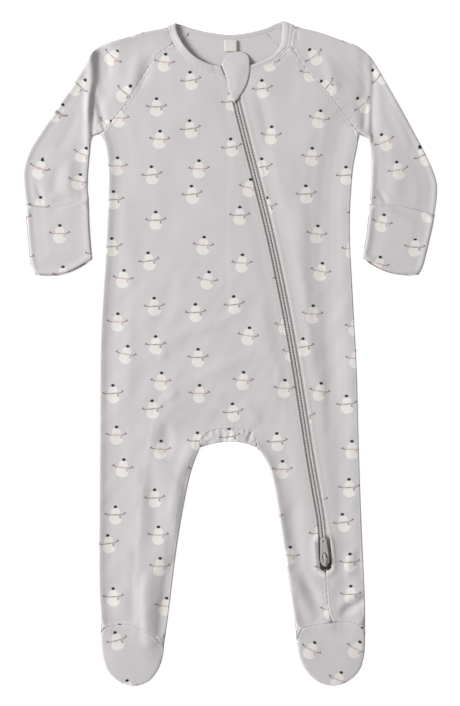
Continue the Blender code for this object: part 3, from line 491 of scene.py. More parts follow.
# %% The folds
FOLDS = [                 # x, y of both ends, width, height, and for some how much steeper one flank is
    # the two folds at the shoulders: a ridge, and the body's cloth that runs under it
    (-129, 306, -131.5, 214, 3.6, 2.3), (-131, 244, -133, 190, 3, 1.5), (-123.6, 310, -126.2, 226, 7, -1.3, -0.75),
    (-119.5, 310, -119.9, 224, 6, -1.5, -0.3), (-126.5, 250, -128.3, 196, 2.2, -1.6, -0.3),
    (-124, 238, -114, 206, 3.2, -1.7, -0.2), (-121.5, 226, -118, 204, 3, 0.3),
    (131.8, 272, 131.4, 172, 2.4, -1.2, -0.7), (132.2, 300, 132, 196, 9, -0.8, -0.5),
    (131.6, 300, 131.8, 246, 2.5, -0.4), (125.5, 290, 124, 204, 4, -0.9), (127, 232, 124.5, 206, 2.2, -1.2),
    # the sleeves
    (-149, 177, -148, 145, 6, 1.1), (-161, 171, -162, 147, 5, -0.8), (154, 179, 154, 145, 6, 0.6),
    (-118, 262, -128, 205, 5, 0.7), (-142, 226, -160, 186, 5, -0.8), (150, 236, 166, 190, 6, 0.8),
    (143, 138, 188, 123, 4, -0.9), (138, 152, 146, 138, 2, -1.0), (-180, 158, -172, 134, 2, -0.7),
    (-165, 141, -148, 143, 2, -0.6), (-140, 146, -122, 158, 4, -0.7),
    # the chest
    (-82, 279, -96, 239, 6, 1), (-70, 275, -86, 243, 4, -1), (90, 275, 102, 245, 6, 0.9),
    (24, 249, 33, 189, 8, -1.2), (62, 142, 76, -44, 9, 0.8), (77, 140, 92, -46, 9, -0.7),
    (-96, 159, -96, 59, 7, 0.7), (-93, 39, -100, -61, 8, 0.7),
    # the belly and the crotch
    (-74, 3, 6, 37, 6, 0.9), (-48, 67, -70, 19, 8, -0.8), (-30, -21, 22, -3, 6, 0.8), (44.6, -8, 46, -32, 3.5, 1.5),
    (53, -36, 55, -53, 3.5, 1.3), (60, -34, 62, -58, 3.5, -1.1), (-66, -6, -57, 2, 3, 0.8),
    (-58, -44, -47, -34, 3.5, 0.9), (-54, -62, -61, -96, 5.5, -1.6), (-32, -81, -48, -118, 6, 1.8),
    (-48, -118, -54, -172, 6, 1.8), (10, -46, 30, -70, 5, 0.8),
    # the legs
    (-84, -105, -84, -188, 7, 0.8), (-71, -100, -71, -182, 7, -1.0), (-100, -217, -98, -247, 8, 1.1),
    (-49, -188, -57, -296, 16, -3.6), (-76, -200, -76, -276, 9, 2.8, -0.3), (-32, -96, -46, -176, 6, -0.6),
    (-46, -170, -56, -232, 6, -0.6), (64, -89, 68, -121, 6, 1.5), (56, -129, 66, -205, 5, -0.8),
    (57, -203, 78, -247, 5, 1.5), (67, -203, 88, -243, 5, -1.2), (124, -215, 102, -235, 3.4, 1.1),
    (127, -222, 103, -243, 3.4, -2.4), (108.8, -182, 109, -210, 5, 1.6), (120, -180, 120, -208, 5, -1.2),
    (93, 60, 95, -75, 7, -0.7),
    # the gusset
    (17.3, -84, 20.9, -73, 1.6, -1.1), (-2.3, -82, 1.1, -72, 1.5, -0.6), (-8, -85, -6.4, -72, 2.2, -0.6),
    (5, -80, 8, -71.5, 1.3, -0.5), (-25.5, -86, -15, -80.5, 2, -0.8), (-26.5, -81, -18, -74, 1.4, -0.7),
    # the feet, just below their seams
    (-112, -259, -70, -266, 6, -1.1), (64, -260, 127, -262, 6, -1.1)]
WANDER, WANDER_SIZE = 5.0, 42            # how far a fold strays from its line, and over what length
WANDER_SEEDS = (2.2, 8.8)
NARROW = 3                # a fold no wider than this wanders only a quarter as far
FADE = 0.6                # a power: the smaller it is, the blunter a fold ends
END_WIDTH, MORE_WIDTH = 0.6, 0.5         # a fold's share of its width at its ends, and what its middle adds
STREAK_TURN, STREAK_LONG, STREAK_WIDE, STREAK_SEED = 0.95, 38.0, 9.0, 4.4
STREAK_LIFT, STREAK_FROM, STREAK_TO = 0.3, 110, -262
STREAK_FADE_TOP, STREAK_FADE_FEET = 60, 25


def ripple(points, size, seed):
    """A soft uneven rise and fall from -1 to 1 about as wide as size."""
    return np.array([noise.noise((x / size, y / size, seed)) for x, y in points])


def fold_lift(points):
    """The folds' rise at points: each fold fades out at its ends and wanders a little."""
    wander = np.stack([ripple(points, WANDER_SIZE, seed) for seed in WANDER_SEEDS], axis=1)
    lift = np.zeros(len(points))
    for x1, y1, x2, y2, width, height, *lean in FOLDS:
        line = Line([(x1, y1), (x2, y2)])
        distance, _, run, side = line.nearest(points + wander * (WANDER if width > NARROW else WANDER / 4))
        fade = np.sin(np.pi * np.clip(run / line.lengths[0], 0, 1)) ** FADE
        wide = width * (1 - (lean[0] if lean else 0) * side) * (END_WIDTH + MORE_WIDTH * fade)
        lift += height * fade * np.exp(-(distance / wide) ** 2)
    return lift


def streaks(points):
    """Faint slanting wrinkles, longer than they are wide, over the belly and the legs."""
    c, s = math.cos(STREAK_TURN), math.sin(STREAK_TURN)
    along, across = points @ np.array((c, s)), points @ np.array((-s, c))
    values = [noise.noise((a / STREAK_LONG, b / STREAK_WIDE, STREAK_SEED)) for a, b in zip(along, across)]
    from_top, from_feet = STREAK_FROM - points[:, 1], points[:, 1] - STREAK_TO
    return (STREAK_LIFT * np.array(values) * smooth_step(0, STREAK_FADE_TOP, from_top)
            * smooth_step(0, STREAK_FADE_FEET, from_feet))


print(len(FOLDS), "folds, the one at the left ankle", fold_lift(np.array([(-53.0, -240)])).round(2), "mm deep there")

# %% [markdown]
# The suit lies as two layers with a little air between them, so the upper layer rises from every edge. Each
# side has its own profile: a rim where the cloth is folded, a shallow trough behind it, and then the loft.
# Beside the zip the cloth is flat, because the tapes hold it, and the slider bulges it a little.

# %% How high the upper layer lies
WALL = 0.75               # the shell's thickness; the knitted cloth is about 0.7
SOLID_WALL = 1.2          # the solids' wall: so far under the upper side is what lies under the upper layer
FLAT_TOP = 2.7            # the upper side of the upper layer, right beside an edge
LOWEST_LIFT = -0.9        # in the deepest fold the upper cloth nearly touches the lower one
LEFT_EDGE = [(0, 1.9), (2, 2.05), (8, 0.95), (12, 0.7), (18, 0.8), (30, 1.25), (50, 1.7), (80, 1.9)]
RIGHT_EDGE = [(0, 1.8), (4, 1.85), (8, 1.7), (14, 1.1), (19, 0.75), (25, 0.9), (35, 1.6), (46, 2.1)]
INNER_EDGE = [(0, 0.5), (6, 0.9), (12, 1.6), (20, 1.75), (60, 2.0)]        # down the left leg's inner side
FOOT_EDGE = [(0, 1.1), (4, 1.5), (12, 1.8), (60, 2.0)]
SLEEVE_EDGE = [(0, 1.6), (2.5, 1.8), (6, 1.3), (12, 1.4), (20, 1.7), (60, 1.85)]
SLEEVES_FROM, SLEEVES_TO = 126, 142       # how far out the sleeves begin
INNER_FROM_TO = (-70, -110)
FEET_FROM, FEET_TO = -250, -268
FACING_SOFT = 0.6                         # how softly a left edge turns into a right one where the outline bends
UNEVEN = [(0.55, 34, 1.7), (0.14, 12, 5.1)]       # height, size and seed of the cloth's unevenness
FOOT_MIDDLE, FOOT_TILT = 93, 0.03         # both feet slope a little down to the right
ZIP_LIFT, ZIP_FLAT, ZIP_REACH = 1.5, 9.0, 22.0
MAX_LIFT = 4.6
SLIDER_SPAN = [(86.6, -177), (88.6, -198)]    # the panels bulge beside the slider and its pull
BULGE, BULGE_AT, BULGE_WIDE = 1.1, 8.0, 2.6
slider_line = Line(SLIDER_SPAN)


def edge_facing(points):
    """How far each point is from the suit's outside, and 0 where that edge is on its left and 1 on its right."""
    distance, foot, _, _ = outer_edges.nearest(points)
    facing = (foot[:, 0] - points[:, 0]) / np.maximum(distance, 0.3)        # right at the edge it has no side
    return distance, smooth_step(-FACING_SOFT, FACING_SOFT, facing)


def table_curve(table, values):
    """A soft curve through a table's points."""
    at, rise = np.array(table, float).T
    i = np.clip(np.searchsorted(at, values) - 1, 0, len(at) - 2)
    t = smooth_step(0, 1, (values - at[i]) / (at[i + 1] - at[i]))
    return rise[i] + (rise[i + 1] - rise[i]) * t


def edge_rise(points):
    """The folded edge stands up as a rim with a shallow trough behind it, before the cloth lofts."""
    distance, right = edge_facing(points)
    foot = smooth_step(FEET_FROM, FEET_TO, points[:, 1])
    sleeve = smooth_step(SLEEVES_FROM, SLEEVES_TO, np.abs(points[:, 0]))
    rise = table_curve(LEFT_EDGE, distance) * (1 - right) + table_curve(RIGHT_EDGE, distance) * right
    inner = right * smooth_step(*INNER_FROM_TO, points[:, 1]) * (points[:, 0] < 0)
    for share, table in ((inner, INNER_EDGE), (sleeve, SLEEVE_EDGE), (foot, FOOT_EDGE)):
        rise = rise * (1 - share) + table_curve(table, distance) * share
    return rise


def upper_level(points):
    """The upper side of the upper layer, before edges and seams are shaped."""
    loft = edge_rise(points)
    by_zip = 1 - smooth_step(ZIP_FLAT, ZIP_REACH, zip_line.distance(points))
    folds = fold_lift(points) + streaks(points)
    for high, size, seed in UNEVEN:
        folds = folds + high * ripple(points, size, seed)
    across = points[:, 0] - np.sign(points[:, 0]) * FOOT_MIDDLE
    folds -= FOOT_TILT * across * smooth_step(FEET_FROM, FEET_TO, points[:, 1])
    lift = np.clip(loft + folds * (1 - by_zip), LOWEST_LIFT, MAX_LIFT)
    bulge = np.exp(-((slider_line.distance(points) - BULGE_AT) / BULGE_WIDE) ** 2) * BULGE
    return FLAT_TOP + lift * (1 - by_zip) + ZIP_LIFT * by_zip + bulge


print("levels at the chest and by the left fold:", upper_level(np.array([(-60.0, 150), (-132, 240)])).round(2))

# %% [markdown]
# A cut piece starts as a fine grid that covers it. Faces outside the outline are deleted, the new border is
# drawn onto the outline a little way in, and the border edges are then extruded outwards ring by ring, so
# that the rolled edge or the sunk seam has narrow rings to bend at. A Solidify modifier gives the wall.

# %% From a grid to a cut piece
CELL = 2.2
RINGS = (4.4, 3.6, 2.9, 2.2, 1.4, 0.6, 0.0)      # distances from the outline at which rings of points lie
ON_LINE = 1e-3                    # a point on the outline stays this far in, so that its side is known
CORNER_REACH, CORNER_SPREAD = 7.0, 2.5           # how far off a corner the nearest point of a ring may be
CORNER_OUT = 1.2                  # at a corner a ring is this much further in than elsewhere
LONG_EDGE, LONG_CUTS = 1.4, 3     # longer border edges than this many cells are split and follow the outline
RELAX_CELLS, RELAX_ROUNDS = 2.5, 4               # the grid is relaxed this many cells in from its first ring
UNFOLD_ROUNDS, UNFOLD_RELAX, TANGLE_GROWS = 12, 5, 2


def plane_points(verts):
    return np.array([(v.co.x, v.co.y) for v in verts])


def snap(verts, line, reach):
    """Moves points to a distance from the outline, on the side where they are."""
    points = plane_points(verts)
    distance, foot, _, _ = line.nearest(points)
    moved = foot + (points - foot) / np.maximum(distance, TINY)[:, None] * reach
    for v, (x, y) in zip(verts, moved):
        v.co.x, v.co.y = x, y


def relax(bm, verts, rounds):
    """Evens out how points are spread, without changing their height."""
    for _ in range(rounds):
        bmesh.ops.smooth_vert(bm, verts=verts, factor=0.5, use_axis_x=True, use_axis_y=True)


def unfold(bm):
    """Relaxes the rings where they have run over each other in a narrow corner."""
    for _ in range(UNFOLD_ROUNDS):
        corners = [(f, (a.link_loop_next.vert.co - a.vert.co).cross(a.link_loop_prev.vert.co - a.vert.co).z)
                   for f in bm.faces for a in f.loops]
        tangled = {v for f, turn in corners if turn < 1e-3 for v in f.verts}
        if not tangled:
            return
        for _ in range(TANGLE_GROWS):
            tangled |= {e.other_vert(v) for v in tangled for e in v.link_edges}
        relax(bm, [v for v in tangled if not v.is_boundary], UNFOLD_RELAX)
    print("  points near a tangle after the last round:", len(tangled))


def cut_grid(outline, corners, cell=CELL, rings=RINGS):
    """A flat bmesh of one cut piece, with narrow rings along its edge."""
    low, high = outline.min(0), outline.max(0)
    size = high - low
    bm = bmesh.new()
    bmesh.ops.create_grid(bm, x_segments=math.ceil(size[0] / cell), y_segments=math.ceil(size[1] / cell), size=0.5)
    bmesh.ops.scale(bm, verts=bm.verts, vec=(size[0], size[1], 1))
    bmesh.ops.translate(bm, verts=bm.verts, vec=(*(low + high) / 2, 0))
    line = Line(outline, closed=True)
    faces = list(bm.faces)
    middles = np.array([f.calc_center_median()[:2] for f in faces])
    keep = inside(middles, outline) & (line.distance(middles) > rings[0])
    bmesh.ops.delete(bm, geom=[f for f, kept in zip(faces, keep) if not kept], context="FACES")
    bmesh.ops.delete(bm, geom=[v for v in bm.verts if not v.link_faces], context="VERTS")
    snap([v for v in bm.verts if v.is_boundary], line, rings[0])
    near = [v for v in bm.verts if not v.is_boundary]
    near = [v for v, d in zip(near, line.distance(plane_points(near))) if d < rings[0] + RELAX_CELLS * cell]
    relax(bm, near, RELAX_ROUNDS)
    for reach in rings[1:]:
        border_edges = [e for e in bm.edges if e.is_boundary]
        made = bmesh.ops.extrude_edge_only(bm, edges=border_edges)["geom"]
        ring = [v for v in made if isinstance(v, bmesh.types.BMVert)]
        snap(ring, line, reach or ON_LINE)
        for corner in corners:
            v = min(ring, key=lambda p: (p.co.x - corner[0]) ** 2 + (p.co.y - corner[1]) ** 2)
            into = Vector((v.co.x - corner[0], v.co.y - corner[1]))
            if into.length < CORNER_SPREAD * reach + CORNER_REACH:
                v.co.xy = Vector(corner) + into.normalized() * reach * CORNER_OUT
    long = [e for e in bm.edges if e.is_boundary and e.calc_length() > LONG_EDGE * cell]
    split = bmesh.ops.subdivide_edges(bm, edges=long, cuts=LONG_CUTS)["geom_inner"]
    snap([g for g in split if isinstance(g, bmesh.types.BMVert)], line, ON_LINE)
    bmesh.ops.recalc_face_normals(bm, faces=bm.faces)
    if sum(f.normal.z for f in bm.faces) < 0:
        bmesh.ops.reverse_faces(bm, faces=bm.faces)
    unfold(bm)
    return bm


trial = cut_grid(np.array([(0.0, 0), (40, 0), (40, 30), (0, 30)]), np.array([(0.0, 0), (40, 0), (40, 30), (0, 30)]))
print("a patch of 40 by 30 mm has", len(trial.faces), "faces and", sum(e.is_boundary for e in trial.edges),
      "border edges")
trial.free()

# %% [markdown]
# Two things happen at an edge. On the suit's outside the cloth rolls down to the layer under it, in a
# quarter round. At a seam both pieces dip into a fine groove and the stitching draws them up in small
# puckers.

# %% Edges and seams
SEAM_END_REACH, SEAM_END_SHARE = 3.5, 0.6     # where a foot's seam ends, the edge stays thick for so far
ROLL_LEVEL = 1.05                         # the upper side's level at the end of the roll
ROLL_LEFT, ROLL_RIGHT = 1.5, 0.75         # how wide the roll is at a left and at a right edge
SEAM_DIP, SEAM_WIDE = 0.09, 0.7           # the groove between two pieces
SEAM_BUMP, BUMP_AT, BUMP_WIDE = 0.06, 1.6, 0.9        # the turned edges under the cloth beside it
STITCH_DIP, STITCH_AT, STITCH_WIDE = 0.13, 2.9, 0.6   # a row of topstitching draws the cloth in
ZIP_RELIEF, RELIEF_FROM_TO = 0.6, (11, 7) # how much flatter all this is beside the zip, and where
OUTSIDE_REACH = 2.5                       # and it fades out this near the suit's outside
SEAM_CLOSE = -0.2                         # each side of a seam is let out by this, because the solids leave a gap
PUCKER, PUCKER_STEP, PUCKER_REACH = 0.12, 6.0, 3.6
PUCKER_DRIFT, DRIFT_RUN = 2.5, 17         # the puckers are not evenly spaced: they drift by this over such a run
TOPSTITCHED = ("front_left", "front_right")           # pieces that have a row of stitches beside their seams


def roll_share(points):
    """From 0 at the suit's outside to 1 where the roll of the edge ends: a quarter round."""
    distance, right = edge_facing(points)
    wide = ROLL_LEFT + (ROLL_RIGHT - ROLL_LEFT) * right
    share = np.sqrt(np.clip(1 - (1 - np.clip(distance / wide, 0, 1)) ** 2, 0, 1))
    thick = np.exp(-(np.min([np.hypot(*(points - end).T) for end in seam_ends], axis=0) / SEAM_END_REACH) ** 2)
    return np.maximum(share, SEAM_END_SHARE * thick)


seam_ends = [c for side in ("left", "right") for c in OUTLINES["foot_upper_" + side][1]
             if outer_edges.distance(np.array([c]))[0] < OUTSIDE_REACH]


def panel_level(outline, pucker=PUCKER, stitched=False):
    """The level of a piece with rolled outer edges and sunk seams, as a function of points."""
    line = Line(outline, closed=True)

    def level(points):
        seam, _, run, _ = line.nearest(points)
        waves = np.sin(math.tau * run / PUCKER_STEP + PUCKER_DRIFT * np.sin(run / DRIFT_RUN))
        relief = pucker * (waves * np.exp(-seam / PUCKER_REACH)) - SEAM_DIP * np.exp(-seam / SEAM_WIDE)
        relief += SEAM_BUMP * np.exp(-((seam - BUMP_AT) / BUMP_WIDE) ** 2)
        if stitched:
            relief -= STITCH_DIP * np.exp(-((seam - STITCH_AT) / STITCH_WIDE) ** 2)
        near_outer = np.exp(-(outer_edges.distance(points) / OUTSIDE_REACH) ** 2)
        by_zip = 1 - ZIP_RELIEF * smooth_step(*RELIEF_FROM_TO, zip_line.distance(points))
        flat = upper_level(points) + relief * (1 - near_outer) * by_zip
        return ROLL_LEVEL + (flat - ROLL_LEVEL) * roll_share(points)
    return level


print("seam ends at the feet:", np.round(seam_ends))

# %% [markdown]
# Every piece ends the same way. Its mesh is turned to metres, gets its finish and, for cloth, a Solidify wall
# below its upper side with the cloth's other side as a second material. Then it is parented to the body that
# carries it, and the solids it stands for are hidden.

# %% Finishing a piece
def finish_piece(name, bm, finish, body=GARMENT, wall=None, replaces=(), lining=None):
    """A bmesh in mm becomes an object in metres that rides on a body. The lining is its other side's finish."""
    bmesh.ops.scale(bm, vec=(MM, MM, MM), verts=bm.verts)
    for face in bm.faces:
        face.smooth = True
    mesh = bpy.data.meshes.new(name)
    bm.to_mesh(mesh)
    bm.free()
    mesh.materials.append(finish)
    made = bpy.data.objects.new(name, mesh)
    bpy.context.scene.collection.objects.link(made)
    if wall:
        solid = made.modifiers.new("cloth", "SOLIDIFY")
        solid.thickness = wall * MM
        solid.offset = -1
        if lining:
            mesh.materials.append(lining)
            solid.material_offset = 1
    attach(made, body)
    if replaces:
        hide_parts(*replaces)
    return made


def bevel(made, width, segments=3):
    """Rounds a hard piece's edges by a width in mm."""
    soft = made.modifiers.new("bevel", "BEVEL")
    soft.width = width * MM
    soft.segments = segments
    soft.limit_method = "ANGLE"


def lay_flat(bm, grain):
    """Gives the piece its UV map: where each point was on the cut piece, in metres."""
    verts = list(bm.verts)
    where = dict(zip(verts, grain(plane_points(verts))))
    layer = bm.loops.layers.uv.new("cloth")
    for face in bm.faces:
        for corner in face.loops:
            corner[layer].uv = where[corner.vert] * MM


def straight_grain(turn=0.0, shift=(0, 0)):
    """Cloth whose ribs run up the suit, turned by an angle and shifted."""
    c, s = math.cos(turn), math.sin(turn)

    def grain(points):
        return points @ np.array(((c, -s), (s, c))) + np.array(shift)
    return grain


def raised_cloth(outline, corners, level, grain, cell=CELL, rings=RINGS):
    """A bmesh of one cut piece, raised to its level and laid out on its grain."""
    bm = cut_grid(outline, corners, cell, rings)
    verts = list(bm.verts)
    for v, z in zip(verts, level(plane_points(verts))):
        v.co.z = z
    lay_flat(bm, grain)
    return bm


# %% [markdown]
# A real seam has no gap, and cloth runs on under what is sewn over it. So each outline is moved a little before
# the cloth is cut: out at the seams and under the neckband, in along the floor, and at the zip to where the
# panel's turned edge lies.

# %% Moving the outlines
ZIP_EDGES = {"front_left": -0.7, "front_right": 0.3}  # the left panel hides half of its tape
ZIP_EDGE_TO = (-150, -170)                # down to where, because the slot is wider beside the slider
SLIDER_ROOM = {"front_left": -1.1, "front_right": 0.6}        # how far the edges draw back there
SLIDER_ROOM_FROM = (-201, -195)
ZIP_HALF_WIDE, ZIP_END = 7.5, -204        # an outline this near the zip's middle, and above its end, is moved
ZIP_CLOSES, SEAM_TO = (-200.5, -203.0), -207          # below the slider the panels meet in a seam
SEAM_BELOW_ZIP = [(89.1, -206.5), (91.3, -237), (95.8, -250.4)]
whole_line = Line(ZIP_LINE + SEAM_BELOW_ZIP)
BAND_LAP, BAND_LAP_REACH = 0.9, 1.2       # how far the cloth runs on under the neckband, and how near its seam
BAND_LAP_FROM = 256                       # and only above this
ON_OUTSIDE = (1.0, 3.0)                   # an outline this near the suit's outside is part of it, and fades out


def inwards(outline):
    """The way in from each point of a counterclockwise outline."""
    along = np.roll(outline, -1, axis=0) - np.roll(outline, 1, axis=0)
    return np.stack((-along[:, 1], along[:, 0]), axis=1) / np.linalg.norm(along, axis=1)[:, None]


def nearest_places(outline, corners):
    """Which points of an outline its corners are."""
    return [int(np.linalg.norm(outline - c, axis=1).argmin()) for c in corners]


def moved_edge(outline, corners, at_outside, at_seams):
    """The outline drawn in along the suit's outside and along seams, or let out where the value is below 0."""
    share = 1 - smooth_step(*ON_OUTSIDE, outer_edges.distance(outline))
    moved = outline + inwards(outline) * (at_outside * share + at_seams * (1 - share))[:, None]
    return moved, moved[nearest_places(outline, corners)]


def zip_edge(node, outline):
    """The outline with its edge at the zip moved to where the turned edge lies."""
    distance, foot, _, _ = zip_line.nearest(outline)
    beside = (distance < ZIP_HALF_WIDE) & (outline[:, 1] > ZIP_END)
    share = smooth_step(ZIP_EDGE_TO[1], ZIP_EDGE_TO[0], outline[:, 1])
    room = SLIDER_ROOM[node] * (1 - share) * smooth_step(*SLIDER_ROOM_FROM, outline[:, 1])
    away = (outline - foot) / np.maximum(distance, TINY)[:, None]
    moved = outline + away * ((ZIP_EDGES[node] * share + room) * beside)[:, None]
    distance, foot, _, _ = whole_line.nearest(moved)
    closed = smooth_step(*ZIP_CLOSES, moved[:, 1]) * (distance < ZIP_HALF_WIDE) * (moved[:, 1] > SEAM_TO)
    reach = np.maximum(distance * (1 - closed), np.minimum(distance, -SEAM_CLOSE))
    return foot + (moved - foot) / np.maximum(distance, TINY)[:, None] * reach[:, None]


def under_band(outline):
    """The outline let out where the neckband is sewn on."""
    near = np.exp(-(band_seam.distance(outline) / BAND_LAP_REACH) ** 2) * (outline[:, 1] > BAND_LAP_FROM)
    return outline - inwards(outline) * (BAND_LAP * near)[:, None]


def panel_cut(node):
    """The outline and corners of an upper piece as it is made here."""
    outline, corners = OUTLINES[node]
    if node in ZIP_EDGES:
        near = nearest_places(outline, corners)
        outline = zip_edge(node, outline)
        corners = outline[near]
    outline, corners = moved_edge(outline, corners, 0, SEAM_CLOSE)
    return under_band(outline), corners


CUTS = {node: panel_cut(node) for node in UPPER}
print("cut pieces:", {node: round(abs(signed_area(outline)) / 100, 1) for node, (outline, _) in CUTS.items()}, "cm2")

# %% [markdown]
# The front is two panels that meet at the slanted zip. Each is one piece of jersey from the shoulder to the
# ankle, so each is one grid. Its outside is printed and its inside is plain.

# %% The front panels
def upper_panel(node, grain, name, pucker=PUCKER, cell=CELL, rings=RINGS):
    """One cut piece of the upper layer."""
    level = panel_level(CUTS[node][0], pucker, node in TOPSTITCHED)
    bm = raised_cloth(*CUTS[node], level, grain, cell, rings)
    made = finish_piece(name, bm, printed_jersey, wall=WALL, replaces=(node,), lining=plain_jersey)


upper_panel("front_left", straight_grain(shift=(9, 4)), "front_panel_left")
upper_panel("front_right", straight_grain(shift=(21, 12)), "front_panel_right")

# %% [markdown]
# The crescent gusset at the crotch takes the strain of the legs, so its seam is gathered a little more, and its
# grid is finer. The two foot caps close the legs. All three are made as the front panels are, each with its
# own grain.

# %% The gusset and the foot caps
GUSSET_PUCKER, GUSSET_CELL, GUSSET_RINGS = 0.32, 1.1, (2.4, 1.9, 1.4, 0.9, 0.4, 0.0)
FOOT_GRAINS = {"foot_upper_left": straight_grain(0.15, (3, 20)),
               "foot_upper_right": straight_grain(-0.35, (14, 2))}

upper_panel("gusset", straight_grain(shift=(12, 27)), "crotch_gusset", GUSSET_PUCKER, GUSSET_CELL, GUSSET_RINGS)
for node, grain in FOOT_GRAINS.items():
    upper_panel(node, grain, node.replace("upper", "cap"))

# %% [markdown]
# The back is one large panel that lies flat under everything, and the soles lie under the foot caps. Their
# outlines are drawn in a little along the suit's outside, because the upper cloth rolls round them there.

# %% The back and the soles
UNDER_TOP = 0.8           # the upper side of the cloth that lies on the floor
TUCK = 1.3                # how far it stays inside the rolled edge
UNDER_CELL = 4.0          # it is flat, so its grid is coarse


def under_sheet(outline, corners, grain):
    """A flat bmesh of cloth that lies on the floor."""
    outline, corners = moved_edge(outline, corners, TUCK, SEAM_CLOSE)
    bm = cut_grid(under_band(outline), corners, cell=UNDER_CELL)
    bmesh.ops.translate(bm, verts=bm.verts, vec=(0, 0, UNDER_TOP))
    for edge in bm.edges:
        edge.smooth = not edge.is_boundary        # the sheet is flat right up to its cut edge
    lay_flat(bm, grain)
    return bm


UNDER_GRAINS = {"back": straight_grain(shift=(30, 9)), "sole_left": straight_grain(0.1, (5, 31)),
                "sole_right": straight_grain(-0.1, (27, 17))}
for node, grain in UNDER_GRAINS.items():
    made = finish_piece(node + "_cloth", under_sheet(*OUTLINES[node], grain), plain_jersey, wall=WALL,
                        replaces=(node,), lining=printed_jersey)

# %% [markdown]
# A raglan sleeve is one piece, folded round the arm and sewn under it. Laid flat it is an upper and an under
# side that meet in a rolled edge. Its print runs along the arm, so its UV map follows the arm's middle line:
# how far along it a point is, and how far to its side.

# %% The sleeves
# each arm's middle line, from the neck to beyond the cuff
ARM_LINES = {"left": [(-62, 292), (-98, 252), (-134, 218), (-153, 184), (-160, 150), (-159, 110), (-155, 70)],
             "right": [(62, 292), (99, 252), (134, 218), (152, 182), (160, 146), (156, 108), (149, 70)]}


def arm_grain(side, shift):
    """Cloth whose ribs run along the arm."""
    line = Line(smooth_run(ARM_LINES[side]))

    def grain(points):
        distance, _, run, way = line.nearest(points)
        return np.stack((distance * way, -run), axis=1) + np.array(shift)
    return grain


def add_bmesh(bm, other):
    """Puts all of another bmesh into this one."""
    carrier = bpy.data.meshes.new("carrier")
    other.to_mesh(carrier)
    other.free()
    bm.from_mesh(carrier)
    bpy.data.meshes.remove(carrier)


SLEEVE_SHIFTS = {"left": (4, 11), "right": (22, 3)}
SLEEVE_CELL = 1.5         # fine enough for the narrow fold at the shoulder
for side, shift in SLEEVE_SHIFTS.items():
    node = "sleeve_" + side
    outline = CUTS[node][0]
    grain = arm_grain(side, shift)
    bm = raised_cloth(*CUTS[node], panel_level(outline), grain, SLEEVE_CELL)
    under, under_corners = rounded(solid_outline(node, -INSIDE_TOP / 2, below=True))
    lower = under_sheet(under, under_corners, grain)
    for face in lower.faces:
        face.material_index = 1           # its upper side is the plain inside, and its lower side is printed
    add_bmesh(bm, lower)
    made = finish_piece(f"raglan_sleeve_{side}", bm, printed_jersey, wall=WALL, replaces=(node,),
                        lining=plain_jersey)
    made.data.materials.append(printed_jersey)

# %% [markdown]
# The mitten flap is a second layer on the sleeve's end. It can be turned over the baby's hand, and here it
# lies back on the sleeve. Its free upper edge stands a little off the sleeve and is slightly wavy.

# %% The mitten flaps
FLAP_LIFT = 1.0           # over the sleeve
FLAP_OVER = 0.6           # how far it reaches round the sleeve's own edge
FLAP_CELL, FLAP_SHIFT = 1.9, (17, 8)              # its print is shifted on from the sleeve's
MOUTH_WAVE, MOUTH_REACH, MOUTH_DROP, MOUTH_EDGE = 0.45, 5.0, 0.5, 0.9
WAVE_SIZE, WAVE_SEED = 9, 3.3
HEMS = ((7.2, 0.3), (9.6, 0.3))           # two rows of stitches: above the flap's end, and how deep they draw
HEM_WIDE = 0.55


def end_line(outline, low):
    """The flap's upper or lower side, from one corner of the outline to the other."""
    sides = outline[np.abs(np.gradient(outline[:, 0])) > np.abs(np.gradient(outline[:, 1]))]
    middle = np.median(outline[:, 1])
    run = sides[sides[:, 1] < middle] if low else sides[sides[:, 1] > middle]
    return Line(run[np.argsort(run[:, 0])])


def flap_level(outline):
    """The flap's upper side, as a function of points: round at the sides, with a hem and a thin free edge."""
    mouth, end = end_line(outline, low=False), end_line(outline, low=True)

    def level(points):
        flat = upper_level(points) + FLAP_LIFT
        from_mouth, from_end = mouth.distance(points), end.distance(points)
        flat += MOUTH_WAVE * np.exp(-(from_mouth / MOUTH_REACH) ** 2) * ripple(points, WAVE_SIZE, WAVE_SEED)
        flat -= MOUTH_DROP * np.exp(-from_mouth / MOUTH_EDGE)
        for at, deep in HEMS:
            flat -= deep * np.exp(-((from_end - at) / HEM_WIDE) ** 2)
        return ROLL_LEVEL + (flat - ROLL_LEVEL) * roll_share(points)
    return level


flap_outlines = {}
for side, shift in SLEEVE_SHIFTS.items():
    node = "mitten_cuff_" + side
    outline, corners = moved_edge(*OUTLINES[node], -FLAP_OVER, 0)
    flap_outlines[side] = outline
    grain = arm_grain(side, np.add(shift, FLAP_SHIFT))
    bm = raised_cloth(outline, corners, flap_level(outline), grain, FLAP_CELL)
    made = finish_piece(f"mitten_flap_{side}", bm, printed_jersey, wall=WALL, replaces=(node,))

# %% [markdown]
# The neckband is a strip of the same jersey, folded double over the raw edge and sewn down. It is thicker
# than the cloth beside it and round along its free edge. It is made as a tube: a cross-section that is
# carried along the neck, up over each shoulder fold and back along the inside of the back.

